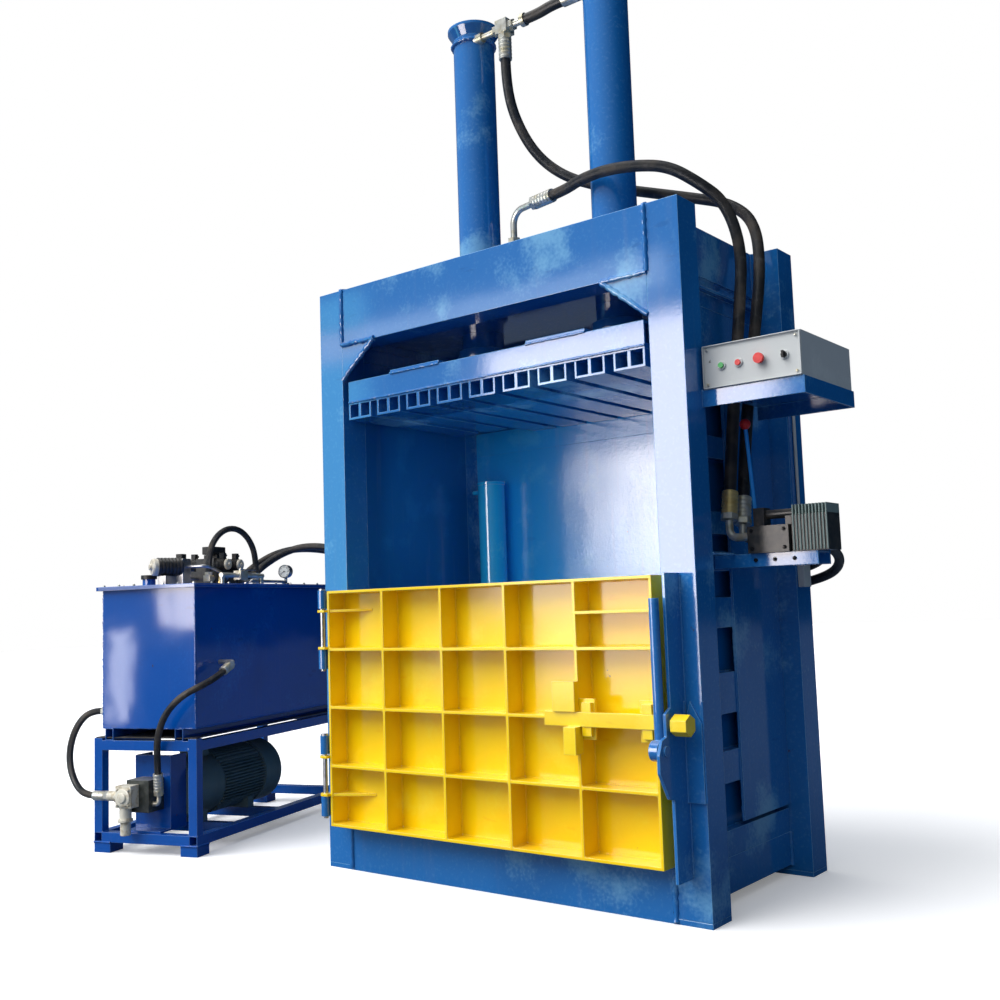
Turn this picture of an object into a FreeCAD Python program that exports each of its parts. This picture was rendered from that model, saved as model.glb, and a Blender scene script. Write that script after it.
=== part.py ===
import FreeCAD, Part
import Sketcher
import math
import os
import re

from FreeCAD import Placement, Rotation, Vector

# A double-cylinder vertical baler with its hydraulic power unit, in millimetres.
# X runs to the right of the feeding side, Y away from it and Z up. The origin is on the floor,
# at the middle of the press's footprint. Every expression below reads the sheet's named sizes.

doc = FreeCAD.newDocument("recycling_baler")
sheet = doc.addObject("Spreadsheet::Sheet", "dims")

SIZES = {
    # press frame
    "frame_width": 2000, "frame_depth": 1050, "frame_height": 2740,
    "post_width": 150, "post_depth": 145, "post_wall": 12, "foot_height": 20,
    "beam_height": 272, "sill_height": 240, "gusset_reach": 211, "gusset_drop": 170, "gusset_thick": 16,
    "joist_width": 80, "joist_pitch": 425,
    # chamber
    "side_sill_low": 44, "wall_thick": 10, "floor_thick": 12, "floor_bar_height": 40, "wall_top": 2130, "rear_inset": 50,
    "rib_depth": 45, "rib_wall": 8, "side_sill_height": 182, "cover_thick": 8, "cover_front": -55,
    "cover_low": 300, "rail_low": 2006,
    # ties and deck over the chamber
    "tie_height": 208, "tie_thick": 20, "bar_low": 2408, "bar_high": 2482, "bar_depth": 40,
    "deck_low": 2520, "deck_thick": 40, "deck_web": 16, "web_offset": 252,
    # main cylinders
    "cylinder_offset": 395, "cylinder_outer": 103.5, "cylinder_bore": 85.5, "cylinder_low": 2440,
    "cylinder_top": 4040, "rod_radius": 60, "running_gap": 0.06, "piston_low": 3900, "piston_height": 90,
    "gland_radius": 125, "gland_height": 40, "spigot_height": 25, "cap_radius": 130, "cap_flare": 42,
    "cap_plate": 14, "plug_height": 25,
    # platen
    "platen_half": 822, "platen_gap": 10, "platen_low": 2100, "channel_height": 72, "channel_width": 146,
    "channel_wall": 10, "channel_rib": 16, "platen_plate": 12, "platen_beam": 100, "platen_wall": 10,
    "saddle_half": 150, "saddle_thick": 16, "flange_radius": 130, "flange_height": 30,
    "corner_x": -590, "corner_y": 290, "bolt_radius": 12, "bolt_circle": 100,
    # upright cylinder in the rear corner
    "upright_x": -688, "upright_y": 390, "upright_radius": 74, "upright_top": 1830, "upright_cap": 16,
    "upright_foot": 20, "upright_port": 12,
    # door
    "door_half": 872, "door_low": 214, "door_high": 1286, "door_gap": 3, "door_skin": 8, "door_depth": 107,
    "door_rib": 12, "stay_low": 354, "stay_high": 1193, "stay_reach": 200, "extra_rib": 1154,
    "bolt_low": 720, "bolt_tall": 55, "bolt_thick": 20, "bolt_clear": 2, "bolt_fit": 0.3, "bolt_start": 376,
    "grip_start": 424, "grip_end": 528, "grip_top": 891, "tail_start": 487, "tail_end": 543, "tail_low": 616,
    "guide_start": 550, "guide_last": 860, "guide_width": 42, "guide_height": 36, "backing_end": 600,
    "backing_start": 800, "backing_reach": 50,
    # door hinges
    "pin_x": -904, "pin_radius": 11, "sleeve_radius": 21, "lug_thick": 12, "lug_gap": 0.3,
    "arm_thick": 12, "hinge_high": 1028, "hinge_low": 360, "hinge_span": 171,
    # door latch
    "latch_x": 918, "latch_thick": 12, "latch_low": 172, "latch_high": 1292, "pivot_y": -684,
    "pivot_z": 650, "pivot_radius": 14, "boss_radius": 38, "lever_x": 896, "lever_y": -664,
    "lever_radius": 19, "lever_low": 672, "lever_high": 1200, "knob_y": -628, "knob_z": 738,
    "knob_radius": 40, "knob_low": 940, "knob_high": 1005, "stud_radius": 12,
    # control box and its shelf
    "shelf_end": 1416, "shelf_front": -402, "shelf_back": 80, "shelf_bar": 65, "shelf_top": 1990,
    "shelf_thick": 8, "cabinet_height": 170, "cabinet_inset": 6, "cabinet_wall": 3, "cabinet_gap": 0.4,
    "panel_thick": 6, "button_radius": 11, "bezel_radius": 17, "bezel_height": 6, "button_z": 2075,
    "mushroom_radius": 20,
    # hand valve and its shelf
    "valve_shelf_end": 1344, "valve_shelf_front": -200, "valve_shelf_depth": 120, "valve_shelf_top": 1360,
    "valve_shelf_tall": 52, "valve_shelf_wall": 7, "valve_x": 1070, "valve_length": 170,
    "valve_front": -222, "valve_back": -35, "valve_height": 105, "handle_x": 1050, "handle_y": -84,
    "handle_z": 1440, "handle_lean": 8, "handle_length": 412, "handle_radius": 8, "ball_radius": 22,
    # power unit
    "unit_x": -1722, "unit_y": -743, "unit_turn": 17.5, "unit_width": 632, "unit_length": 1560,
    "tube_size": 50, "tube_wall": 4, "skid_foot": 100, "skid_foot_height": 52, "skid_top": 578,
    "rail_top": 567, "tank_low": 629, "tank_top": 1354, "tank_inset": 10, "tank_wall": 5,
    "tank_side": 52, "lid_top": 1358, "lid_skirt": 20, "lid_wall": 4, "lid_overhang": 16,
    "shaft_a": -350, "shaft_z": 280, "motor_start": 240, "fin_start": 520, "fin_end": 900,
    "motor_radius": 150, "fin_radius": 172, "fin_pitch": 17, "fin_thick": 6, "shield_radius": 164,
    "cowl_end": 1060, "cowl_radius": 178, "cowl_wall": 3, "shaft_radius": 24, "rotor_radius": 98,
    "stator_bore": 100, "fan_radius": 150, "bracket_start": 110, "bracket_thick": 16,
    "bracket_half": 110, "bracket_top": 480, "lantern_radius": 98, "lantern_wall": 10,
    "cheek_thick": 8, "pump_start": -12, "pump_half": 68, "pump_shaft": 12, "head_width": 95, "head_depth": 62,
    "head_radius": 38, "foot_pipe": 26,
    # hoses and their fittings
    "hose_radius": 25, "line_radius": 21, "unit_hose_radius": 17, "crimp_wall": 6, "nut_length": 24,
    "pipe_radius": 16, "port_y": -60, "port_z": 4008, "tee_half": 34, "tee_x": -150, "low_port_z": 2625,
    "clamp_x": 925, "clamp_half": 18, "clamp_reach": 90,
}

for row, (name, number) in enumerate(SIZES.items(), start=1):
    sheet.set(f"A{row}", name)
    sheet.set(f"B{row}", str(number))
    sheet.setAlias(f"B{row}", name)
doc.recompute()

# places that several pieces share, as expressions of the sizes
INNER = "(frame_width/2 - post_width)"
FRONT = "(-frame_depth/2)"
BACK = "(frame_depth/2)"
POST_FRONT = f"({FRONT} + post_depth)"
POST_BACK = f"({BACK} - post_depth)"
REAR_FACE = f"({BACK} - rear_inset)"
WALL_OUT = f"({INNER} + wall_thick)"
RIB_OUT = f"({WALL_OUT} + rib_depth)"
COVER_OUT = f"({RIB_OUT} + cover_thick)"
FLOOR_TOP = "(sill_height + floor_thick)"
BAR_TOP = f"({FLOOR_TOP} + floor_bar_height)"
PLATEN_FRONT = f"({FRONT} + platen_gap)"
PLATEN_BACK = f"({REAR_FACE} - platen_gap)"
PLATE_LOW = "(platen_low + channel_height)"
BEAM_LOW = f"({PLATE_LOW} + platen_plate)"
BEAM_TOP = f"({BEAM_LOW} + platen_beam)"
SADDLE_TOP = f"({BEAM_TOP} + saddle_thick)"
FLANGE_TOP = f"({SADDLE_TOP} + flange_height)"
DOOR_BACK = f"({FRONT} - door_gap)"
SKIN_FRONT = f"({DOOR_BACK} - door_skin)"
DOOR_FRONT = f"({DOOR_BACK} - door_depth)"
BOLT_BACK = f"({DOOR_FRONT} - bolt_clear)"
BOLT_FRONT = f"({BOLT_BACK} - bolt_thick)"
LATCH_OUT = "(latch_x + latch_thick)"
CABINET_FRONT = "(shelf_front + cabinet_inset)"
CABINET_TOP = "(shelf_top + cabinet_height)"
PANEL_BACK = f"({CABINET_FRONT} - cabinet_gap)"
PANEL_FRONT = f"({PANEL_BACK} - panel_thick)"
BEZEL_FRONT = f"({PANEL_FRONT} - bezel_height)"
UNIT_LEFT = "(-unit_width)"

SUBPARTS = []
PRESS_FITTINGS = []
UNIT_FITTINGS = []


def bound(text):
    """The expression with each size's name led by the sheet's."""
    return re.sub(r"[a-z][a-z_]+", lambda m: "dims." + m.group(0) if m.group(0) in SIZES else m.group(0), text)


def size(name):
    return float(sheet.get(name))


def box(x, y, z):
    """A box between three (low, high) pairs of expressions."""
    made = doc.addObject("Part::Box", "box")
    for side, edge, (low, high) in zip("xyz", ("Length", "Width", "Height"), (x, y, z)):
        made.setExpression(edge, bound(f"({high}) - ({low})"))
        made.setExpression(f"Placement.Base.{side}", bound(low))
    return made


TURNS = {
    "x": (Rotation(Vector(0, 1, 0), 90), "yz"),
    "y": (Rotation(Vector(1, 0, 0), -90), "xz"),
    "z": (Rotation(), "xy"),
}


def rod(axis, centre, span, radius, kind="Part::Cylinder"):
    """A round bar along one axis: its centre is two expressions, in the order x, y, z."""
    turn, others = TURNS[axis]
    made = doc.addObject(kind, "rod")
    made.Placement = Placement(Vector(), turn)
    for side, place in zip(others, centre):
        made.setExpression(f"Placement.Base.{side}", bound(str(place)))
    made.setExpression(f"Placement.Base.{axis}", bound(span[0]))
    made.setExpression("Height", bound(f"({span[1]}) - ({span[0]})"))
    made.setExpression("Radius" if kind == "Part::Cylinder" else "Circumradius", bound(radius))
    return made


def hexagon(axis, centre, span, radius):
    return rod(axis, centre, span, radius, "Part::Prism")


def ball(centre, radius):
    made = doc.addObject("Part::Sphere", "ball")
    made.setExpression("Radius", bound(radius))
    for side, place in zip("xyz", centre):
        made.setExpression(f"Placement.Base.{side}", bound(place))
    return made


def cut(base, *tools):
    made = doc.addObject("Part::Cut", "cut")
    made.Base = base
    made.Tool = tools[0] if len(tools) == 1 else fuse(*tools)
    return made


def fuse(*parts):
    made = doc.addObject("Part::MultiFuse", "fused")
    made.Shapes = list(parts)
    return made


def common(*parts):
    made = doc.addObject("Part::MultiCommon", "common")
    made.Shapes = list(parts)
    return made


def group(*parts):
    made = doc.addObject("Part::Compound", "group")
    made.Links = list(parts)
    return made


def mirrored(part):
    """The same piece on the other side of the plane X = 0."""
    made = doc.addObject("Part::Mirroring", "mirrored")
    made.Source = part
    made.Normal = Vector(1, 0, 0)
    return made


def both_sides(*parts):
    return [*parts, *[mirrored(p) for p in parts]]


def tube(axis, centre, span, outer, inner):
    """A round tube, cut right through."""
    low, high = span
    return cut(rod(axis, centre, span, outer), rod(axis, centre, (f"({low}) - 1", f"({high}) + 1"), inner))


def box_tube(axis, x, y, z, wall):
    """A square tube, open at both ends of its axis."""
    spans = {"x": x, "y": y, "z": z}
    inner = {}
    for side, (low, high) in spans.items():
        step = "-1" if side == axis else wall
        inner[side] = (f"({low}) + ({step})", f"({high}) - ({step})")
    return cut(box(x, y, z), box(inner["x"], inner["y"], inner["z"]))


def outline(plane, points, low, thick):
    """A plate cut to an outline: a padded sketch whose corners are bound to the sheet.
    Plane XZ pads along Y, YZ along X and XY along Z; low is where the plate starts."""
    body = doc.addObject("PartDesign::Body", "plate")
    origin = [f for f in body.Origin.OriginFeatures if getattr(f, "Role", "") == f"{plane}_Plane"][0]
    sketch = body.newObject("Sketcher::SketchObject", "outline")
    sketch.AttachmentSupport = [(origin, "")]
    sketch.MapMode = "FlatFace"
    rough = [Vector(10 * math.cos(i), 10 * math.sin(i), 0) for i in range(len(points))]
    for i, start in enumerate(rough):
        sketch.addGeometry(Part.LineSegment(start, rough[(i + 1) % len(rough)]), False)
    for i in range(len(points)):
        sketch.addConstraint(Sketcher.Constraint("Coincident", i, 2, (i + 1) % len(points), 1))
    for i, (across, up) in enumerate(points):
        for kind, place in (("DistanceX", across), ("DistanceY", up)):
            at = sketch.addConstraint(Sketcher.Constraint(kind, -1, 1, i, 1, 5.0 + i))
            sketch.setExpression(f"Constraints[{at}]", bound(place))
    pad = body.newObject("PartDesign::Pad", "pad")
    pad.Profile = sketch
    pad.setExpression("Length", bound(thick))
    pad.Reversed = plane == "XZ"
    side = {"XZ": "y", "YZ": "x", "XY": "z"}[plane]
    body.setExpression(f"Placement.Base.{side}", bound(low))
    return body


def turned(profile, centre, low):
    """A turned piece about a vertical axis: profile is (radius, height) pairs from the axis out and back."""
    body = doc.addObject("PartDesign::Body", "turned")
    origin = [f for f in body.Origin.OriginFeatures if getattr(f, "Role", "") == "XZ_Plane"][0]
    sketch = body.newObject("Sketcher::SketchObject", "profile")
    sketch.AttachmentSupport = [(origin, "")]
    sketch.MapMode = "FlatFace"
    rough = [Vector(10 * math.cos(i), 10 * math.sin(i), 0) for i in range(len(profile))]
    for i, start in enumerate(rough):
        sketch.addGeometry(Part.LineSegment(start, rough[(i + 1) % len(rough)]), False)
    for i in range(len(profile)):
        sketch.addConstraint(Sketcher.Constraint("Coincident", i, 2, (i + 1) % len(profile), 1))
    for i, (radius, height) in enumerate(profile):
        for kind, place in (("DistanceX", radius), ("DistanceY", height)):
            at = sketch.addConstraint(Sketcher.Constraint(kind, -1, 1, i, 1, 5.0 + i))
            sketch.setExpression(f"Constraints[{at}]", bound(place))
    turn = body.newObject("PartDesign::Revolution", "turn")
    turn.Profile = sketch
    turn.ReferenceAxis = (sketch, ["V_Axis"])
    turn.Angle = 360
    for side, place in zip("xyz", (*centre, low)):
        body.setExpression(f"Placement.Base.{side}", bound(place))
    return body


def subpart(label, made):
    """Names one finished piece of the press."""
    made.Label = label
    SUBPARTS.append(made)


def unit_subpart(label, *parts):
    """Names one finished piece of the power unit, which stands turned beside the press."""
    made = group(*parts)
    made.setExpression("Placement.Base.x", bound("unit_x"))
    made.setExpression("Placement.Base.y", bound("unit_y"))
    made.setExpression("Placement.Rotation.Angle", bound("unit_turn"))
    subpart(label, made)


def unit_point(a, b, z):
    """A point of the power unit's own frame, in the row frame."""
    turn = Rotation(Vector(0, 0, 1), size("unit_turn"))
    return Vector(size("unit_x"), size("unit_y"), 0) + turn.multVec(Vector(a, b, z))


# ---- press frame -------------------------------------------------------------------------------

def corner_posts():
    """Four box posts, each closed at the top and standing on its foot plate."""
    posts = []
    for y in ((FRONT, POST_FRONT), (POST_BACK, BACK)):
        outer = box((INNER, "frame_width/2"), y, ("foot_height", "frame_height"))
        hollow = box((f"{INNER} + post_wall", "frame_width/2 - post_wall"),
                     (f"{y[0]} + post_wall", f"{y[1]} - post_wall"),
                     ("foot_height - 1", "frame_height - post_wall"))
        posts += both_sides(cut(outer, hollow))
    subpart("corner_posts", group(*posts))


def base_frame():
    """Foot plates, sills on the floor between the posts, and joists under the chamber floor."""
    pieces = []
    for y in ((FRONT, POST_FRONT), (POST_BACK, BACK)):
        pieces += both_sides(box((INNER, "frame_width/2"), y, ("0", "foot_height")))
        pieces.append(box_tube("x", (f"-{INNER}", INNER), y, ("0", "sill_height"), "post_wall"))
    pieces += both_sides(box_tube("y", (INNER, RIB_OUT), (POST_FRONT, POST_BACK),
                                  ("side_sill_low", "side_sill_height"), "rib_wall"))
    for step in (-1, 0, 1):
        middle = f"{step} * joist_pitch"
        pieces.append(box_tube("y", (f"{middle} - joist_width/2", f"{middle} + joist_width/2"),
                               (POST_FRONT, POST_BACK), ("0", "sill_height"), "rib_wall"))
    subpart("base_frame", group(*pieces))


def top_beams():
    """Front and rear box beams, and the gusset plates under their ends."""
    pieces = []
    low = "(frame_height - beam_height)"
    for y in ((FRONT, POST_FRONT), (POST_BACK, BACK)):
        pieces.append(box_tube("x", (f"-{INNER}", INNER), y, (low, "frame_height"), "post_wall"))
    corner = [(INNER, f"{low} - gusset_drop"), (INNER, low), (f"{INNER} - gusset_reach", low)]
    for start in (FRONT, f"{BACK} - gusset_thick"):
        pieces += both_sides(outline("XZ", corner, start, "gusset_thick"))
    subpart("top_beams", group(*pieces))


def side_ties():
    """On each side a deep tie flush with the post tops and an angle bar below it."""
    y = (POST_FRONT, POST_BACK)
    tie = box((INNER, f"{INNER} + tie_thick"), y, ("frame_height - tie_height", "frame_height"))
    web = box((INNER, f"{INNER} + tie_thick/2"), y, ("bar_low", "bar_high"))
    flange = box((INNER, f"{INNER} + bar_depth"), y, ("bar_high - tie_thick/2", "bar_high"))
    subpart("side_ties", group(*both_sides(tie, fuse(web, flange))))


def cylinder_deck():
    """The plate that carries both cylinders, with two stiffening webs beside each."""
    y = (POST_FRONT, POST_BACK)
    top = "(deck_low + deck_thick)"
    deck = box((f"-{INNER}", INNER), y, ("deck_low", top))
    holes = both_sides(rod("z", ("cylinder_offset", "0"), ("deck_low - 1", f"{top} + 1"), "cylinder_outer"))
    webs = []
    for sign in ("-", "+"):
        start = f"cylinder_offset {sign} web_offset"
        webs += both_sides(box((start, f"{start} + deck_web"), y, (top, "frame_height - post_wall")))
    subpart("cylinder_deck", fuse(cut(deck, *holes), *webs))


CHANNELS = 9
RIB_BANDS = ((182, 282), (463, 588), (733, 895), (1074, 1194), (1302, 1379), (1450, 1540), (1760, 1850),
             (2040, 2130))


def channel_low(i):
    """The left edge of channel i, with the outer two flush with the platen's sides."""
    return f"(-platen_half + {i} * (2*platen_half - channel_width) / {CHANNELS - 1})"


def chamber_floor():
    """The floor plate and the bars on it, whose gaps let the strapping pass under a bale."""
    plate = box((f"-{INNER}", INNER), (FRONT, REAR_FACE), ("sill_height", FLOOR_TOP))
    bars = []
    for i in range(CHANNELS):
        low = channel_low(i)
        bars.append(box((low, f"{low} + channel_width"), (FRONT, REAR_FACE), (FLOOR_TOP, BAR_TOP)))
    subpart("chamber_floor", group(plate, *bars))


def side_walls():
    wall = box((INNER, WALL_OUT), (POST_FRONT, POST_BACK), ("side_sill_height", "wall_top"))
    subpart("side_walls", group(*both_sides(wall)))


def side_ribs():
    """Box ribs across the outside of each wall, and the plate that covers their rear half."""
    pieces = []
    for low, high in RIB_BANDS:
        pieces.append(box_tube("y", (WALL_OUT, RIB_OUT), (POST_FRONT, POST_BACK), (str(low), str(high)), "rib_wall"))
    pieces.append(box((RIB_OUT, COVER_OUT), ("cover_front", POST_BACK), ("cover_low", "wall_top")))
    subpart("side_ribs", group(*both_sides(*pieces)))


def rear_wall():
    """The rear plate, the rail along its top, and the ribs behind it."""
    x = (f"-{INNER}", INNER)
    inner = f"({REAR_FACE} + wall_thick)"
    pieces = [box(x, (REAR_FACE, inner), (FLOOR_TOP, "rail_low")),
              box_tube("x", x, (REAR_FACE, BACK), ("rail_low", "wall_top"), "rib_wall")]
    for low, high in RIB_BANDS[1:-1]:
        pieces.append(box_tube("x", x, (inner, BACK), (str(low), str(high)), "rib_wall"))
    subpart("rear_wall", group(*pieces))


# ---- main cylinders and platen -----------------------------------------------------------------

def cylinders():
    """Two barrels with turned top caps and bottom glands."""
    at = ("cylinder_offset", "0")
    barrel = tube("z", at, ("cylinder_low", "cylinder_top"), "cylinder_outer", "cylinder_bore")
    subpart("cylinder_barrels", group(*both_sides(barrel)))
    cap = turned([("0", "-plug_height"), ("cylinder_bore - running_gap", "-plug_height"),
                  ("cylinder_bore - running_gap", "0"), ("cylinder_outer", "0"),
                  ("cap_radius", "cap_flare"), ("cap_radius", "cap_flare + cap_plate"),
                  ("0", "cap_flare + cap_plate")], at, "cylinder_top")
    subpart("cylinder_caps", group(*both_sides(cap)))
    flange = rod("z", at, ("cylinder_low - gland_height", "cylinder_low"), "gland_radius")
    spigot = rod("z", at, ("cylinder_low", "cylinder_low + spigot_height"), "cylinder_bore - running_gap")
    bore = rod("z", at, ("cylinder_low - gland_height - 1", "cylinder_low + spigot_height + 1"),
               "rod_radius + running_gap")
    subpart("cylinder_glands", group(*both_sides(cut(fuse(flange, spigot), bore))))


def piston_rods():
    """A chromed rod and its piston, turned from one bar, for each cylinder."""
    at = ("cylinder_offset", "0")
    shaft = rod("z", at, (FLANGE_TOP, "piston_low"), "rod_radius")
    piston = rod("z", at, ("piston_low", "piston_low + piston_height"), "cylinder_bore - running_gap")
    subpart("piston_rods", group(*both_sides(fuse(shaft, piston))))


def platen_frame():
    """The platen's plate, with a corner left out round the upright cylinder, and what is welded on it:
    box beams round the edge, webs and saddle plates under the rods, and bolted rod flanges."""
    plate = box(("-platen_half", "platen_half"), (PLATEN_FRONT, PLATEN_BACK), (PLATE_LOW, BEAM_LOW))
    corner = box(("-platen_half - 1", "corner_x"), ("corner_y", f"{PLATEN_BACK} + 1"),
                 (f"{PLATE_LOW} - 1", f"{BEAM_LOW} + 1"))
    z = (BEAM_LOW, BEAM_TOP)
    deep = "platen_beam"
    front = box_tube("x", ("-platen_half", "platen_half"), (PLATEN_FRONT, f"{PLATEN_FRONT} + {deep}"), z,
                     "platen_wall")
    rear = box_tube("x", ("corner_x", "platen_half"), (f"{PLATEN_BACK} - {deep}", PLATEN_BACK), z,
                    "platen_wall")
    y = (f"{PLATEN_FRONT} + {deep}", f"{PLATEN_BACK} - {deep}")
    left = box_tube("y", ("-platen_half", f"-platen_half + {deep}"), (y[0], "corner_y"), z, "platen_wall")
    right = box_tube("y", (f"platen_half - {deep}", "platen_half"), y, z, "platen_wall")
    pieces = [cut(plate, corner), front, rear, left, right]
    for sign in ("-", "+"):
        for side in ("-", "+"):
            low = f"({sign}cylinder_offset {side} (saddle_half - channel_rib/2) - channel_rib/2)"
            pieces.append(box((low, f"{low} + channel_rib"), y, z))
        middle = f"({sign}cylinder_offset)"
        pieces.append(box((f"{middle} - saddle_half", f"{middle} + saddle_half"),
                          (PLATEN_FRONT, PLATEN_BACK), (BEAM_TOP, SADDLE_TOP)))
        pieces.append(rod("z", (middle, "0"), (SADDLE_TOP, FLANGE_TOP), "flange_radius"))
        for k in range(6):
            turn = math.radians(60 * k + 30)
            spot = (f"{middle} + bolt_circle * {math.cos(turn):.6f}", f"bolt_circle * {math.sin(turn):.6f}")
            pieces.append(hexagon("z", spot, (FLANGE_TOP, f"{FLANGE_TOP} + bolt_radius"), "bolt_radius*1.2"))
    subpart("platen_frame", group(*pieces))


def platen_channels():
    """The channels under the platen: the gaps between them are where the strapping runs."""
    channels = []
    for i in range(CHANNELS):
        low = channel_low(i)
        high = f"({low} + channel_width)"
        reaches_corner = -size("platen_half") + i * (2 * size("platen_half") - size("channel_width")) / (
            CHANNELS - 1) < size("corner_x")
        y = (PLATEN_FRONT, "corner_y" if reaches_corner else PLATEN_BACK)
        z = ("platen_low", PLATE_LOW)
        outer = box((low, high), y, z)
        middle = f"({low} + channel_width/2)"
        inside = ("platen_low + channel_wall", f"{PLATE_LOW} + 1")
        beyond = (f"{y[0]} - 1", f"{y[1]} + 1")
        hollows = [box((f"{low} + channel_wall", f"{middle} - channel_rib/2"), beyond, inside),
                   box((f"{middle} + channel_rib/2", f"{high} - channel_wall"), beyond, inside)]
        channels.append(cut(outer, *hollows))
    subpart("platen_channels", group(*channels))


def upright_cylinder():
    """The smaller cylinder that stands in the rear left corner, with a port near its closed top."""
    at = ("upright_x", "upright_y")
    foot = box(("upright_x - upright_radius", "upright_x + upright_radius"),
               ("upright_y - upright_radius", "upright_y + upright_radius"), (BAR_TOP, f"{BAR_TOP} + upright_foot"))
    barrel = rod("z", at, (f"{BAR_TOP} + upright_foot", "upright_top"), "upright_radius - 2")
    cap = rod("z", at, ("upright_top", "upright_top + upright_cap"), "upright_radius")
    port = rod("x", ("upright_y", "upright_top - 30"), ("upright_x - upright_radius - 46", "upright_x - 60"),
               "upright_port")
    subpart("upright_cylinder", fuse(foot, barrel, cap, port))


# ---- door, hinges and latch --------------------------------------------------------------------

DOOR_COLUMNS = 5
DOOR_ROWS = 4


def door():
    """A skin with a grid of deep ribs, two stays at each hinge and the guides of the slide bolt."""
    x, z = ("-door_half", "door_half"), ("door_low", "door_high")
    subpart("door_skin", group(box(x, (SKIN_FRONT, DOOR_BACK), z)))
    y = (DOOR_FRONT, SKIN_FRONT)
    columns = [f"(-door_half + {i} * (2*door_half - door_rib) / {DOOR_COLUMNS})" for i in range(DOOR_COLUMNS + 1)]
    levels = [f"(door_low + {i} * (door_high - door_low - door_rib) / {DOOR_ROWS})" for i in range(DOOR_ROWS + 1)]
    uprights = [box((low, f"{low} + door_rib"), y, z) for low in columns]
    top = "(bolt_low + bolt_tall + bolt_fit)"
    guides, backings = [], []
    for low, high, start, end in (("guide_start", "guide_start + guide_width", columns[-2], "backing_end"),
                                  ("guide_last - guide_width", "guide_last", "backing_start", "door_half")):
        backing = box((start, end), (DOOR_FRONT, f"{DOOR_FRONT} + door_rib"),
                      ("bolt_low - backing_reach", f"{top} + backing_reach"))
        backings.append(backing)
        spans = ((top, f"{top} + guide_height"), ("bolt_low - bolt_fit - guide_height", "bolt_low - bolt_fit"))
        blocks = [box((low, high), (f"{BOLT_FRONT} + 4", DOOR_FRONT), span) for span in spans]
        guides.append(fuse(backing, *blocks))
    shelves = []
    for row, low in enumerate(levels):
        for left, right in zip(columns, columns[1:]):
            shelf = box((f"{left} + door_rib", right), y, (low, f"{low} + door_rib"))
            beside_bolt = right == columns[-1] and row == DOOR_ROWS // 2
            shelves.append(cut(shelf, *backings) if beside_bolt else shelf)
    shelves.append(box((f"{columns[-2]} + door_rib", columns[-1]), y,
                       ("extra_rib - door_rib/2", "extra_rib + door_rib/2")))
    corner = [("-door_half", DOOR_FRONT), ("-door_half + stay_reach", SKIN_FRONT), ("-door_half", SKIN_FRONT)]
    stays = [cut(outline("XY", corner, f"{height} - door_rib/2", "door_rib"), uprights[0])
             for height in ("stay_low", "stay_high")]
    carriers = [cut(upright, *backings) for upright in uprights[-2:]]
    subpart("door_ribs", group(*uprights[:-2], *carriers, *shelves, *stays, *guides))
    bar = box(("bolt_start", "door_half - 2"), (BOLT_FRONT, BOLT_BACK), ("bolt_low", "bolt_low + bolt_tall"))
    grip = box(("grip_start", "grip_end"), (f"{BOLT_FRONT} - 10", BOLT_BACK), ("bolt_low + bolt_tall", "grip_top"))
    tail = box(("tail_start", "tail_end"), (f"{BOLT_FRONT} - 33", BOLT_BACK), ("tail_low", "bolt_low"))
    subpart("slide_bolt", fuse(bar, grip, tail))


def hinges():
    """Two hinges: sleeves on arms from the left post, a loose pin in each, and lugs on the door."""
    at = ("pin_x", DOOR_FRONT)
    sleeves, pins, lugs = [], [], []
    for high_lug in ("hinge_high", "hinge_low + hinge_span"):
        top = f"({high_lug})"
        low_lug = f"({high_lug} - lug_thick)"
        other = f"({high_lug} + hinge_span)" if high_lug == "hinge_high" else f"({high_lug} - hinge_span)"
        upper, lower = (other, top) if high_lug == "hinge_high" else (top, other)
        for low, high in ((f"{upper} + 6", f"{upper} + 90"), (f"{lower} - lug_thick - lug_gap - 90",
                                                            f"{lower} - lug_thick - lug_gap")):
            ring = tube("z", at, (low, high), "sleeve_radius", "pin_radius + running_gap")
            arm = box(("pin_x - arm_thick/2", "pin_x + arm_thick/2"),
                      (f"{DOOR_FRONT} + sleeve_radius - 4", FRONT), (low, high))
            sleeves.append(fuse(ring, arm))
        pins.append(rod("z", at, (f"{lower} - lug_thick - 100", f"{upper} + 98"), "pin_radius"))
        pins.append(rod("z", at, (f"{upper} + 90.3", f"{upper} + 98"), "pin_radius + 6"))
        for level in (upper, lower):
            span = (f"{level} - lug_thick", level)
            eye = fuse(rod("z", at, span, "sleeve_radius + 2"),
                       box(("pin_x", "-door_half"), (f"{DOOR_FRONT} - sleeve_radius", f"{DOOR_FRONT} + 60"), span))
            hole = rod("z", at, (f"{level} - lug_thick - 1", f"{level} + 1"), "pin_radius + running_gap")
            lugs.append(cut(eye, hole))
    subpart("hinge_sleeves", group(*sleeves))
    subpart("hinge_pins", group(fuse(pins[0], pins[1]), fuse(pins[2], pins[3])))
    subpart("hinge_lugs", group(*lugs))


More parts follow.
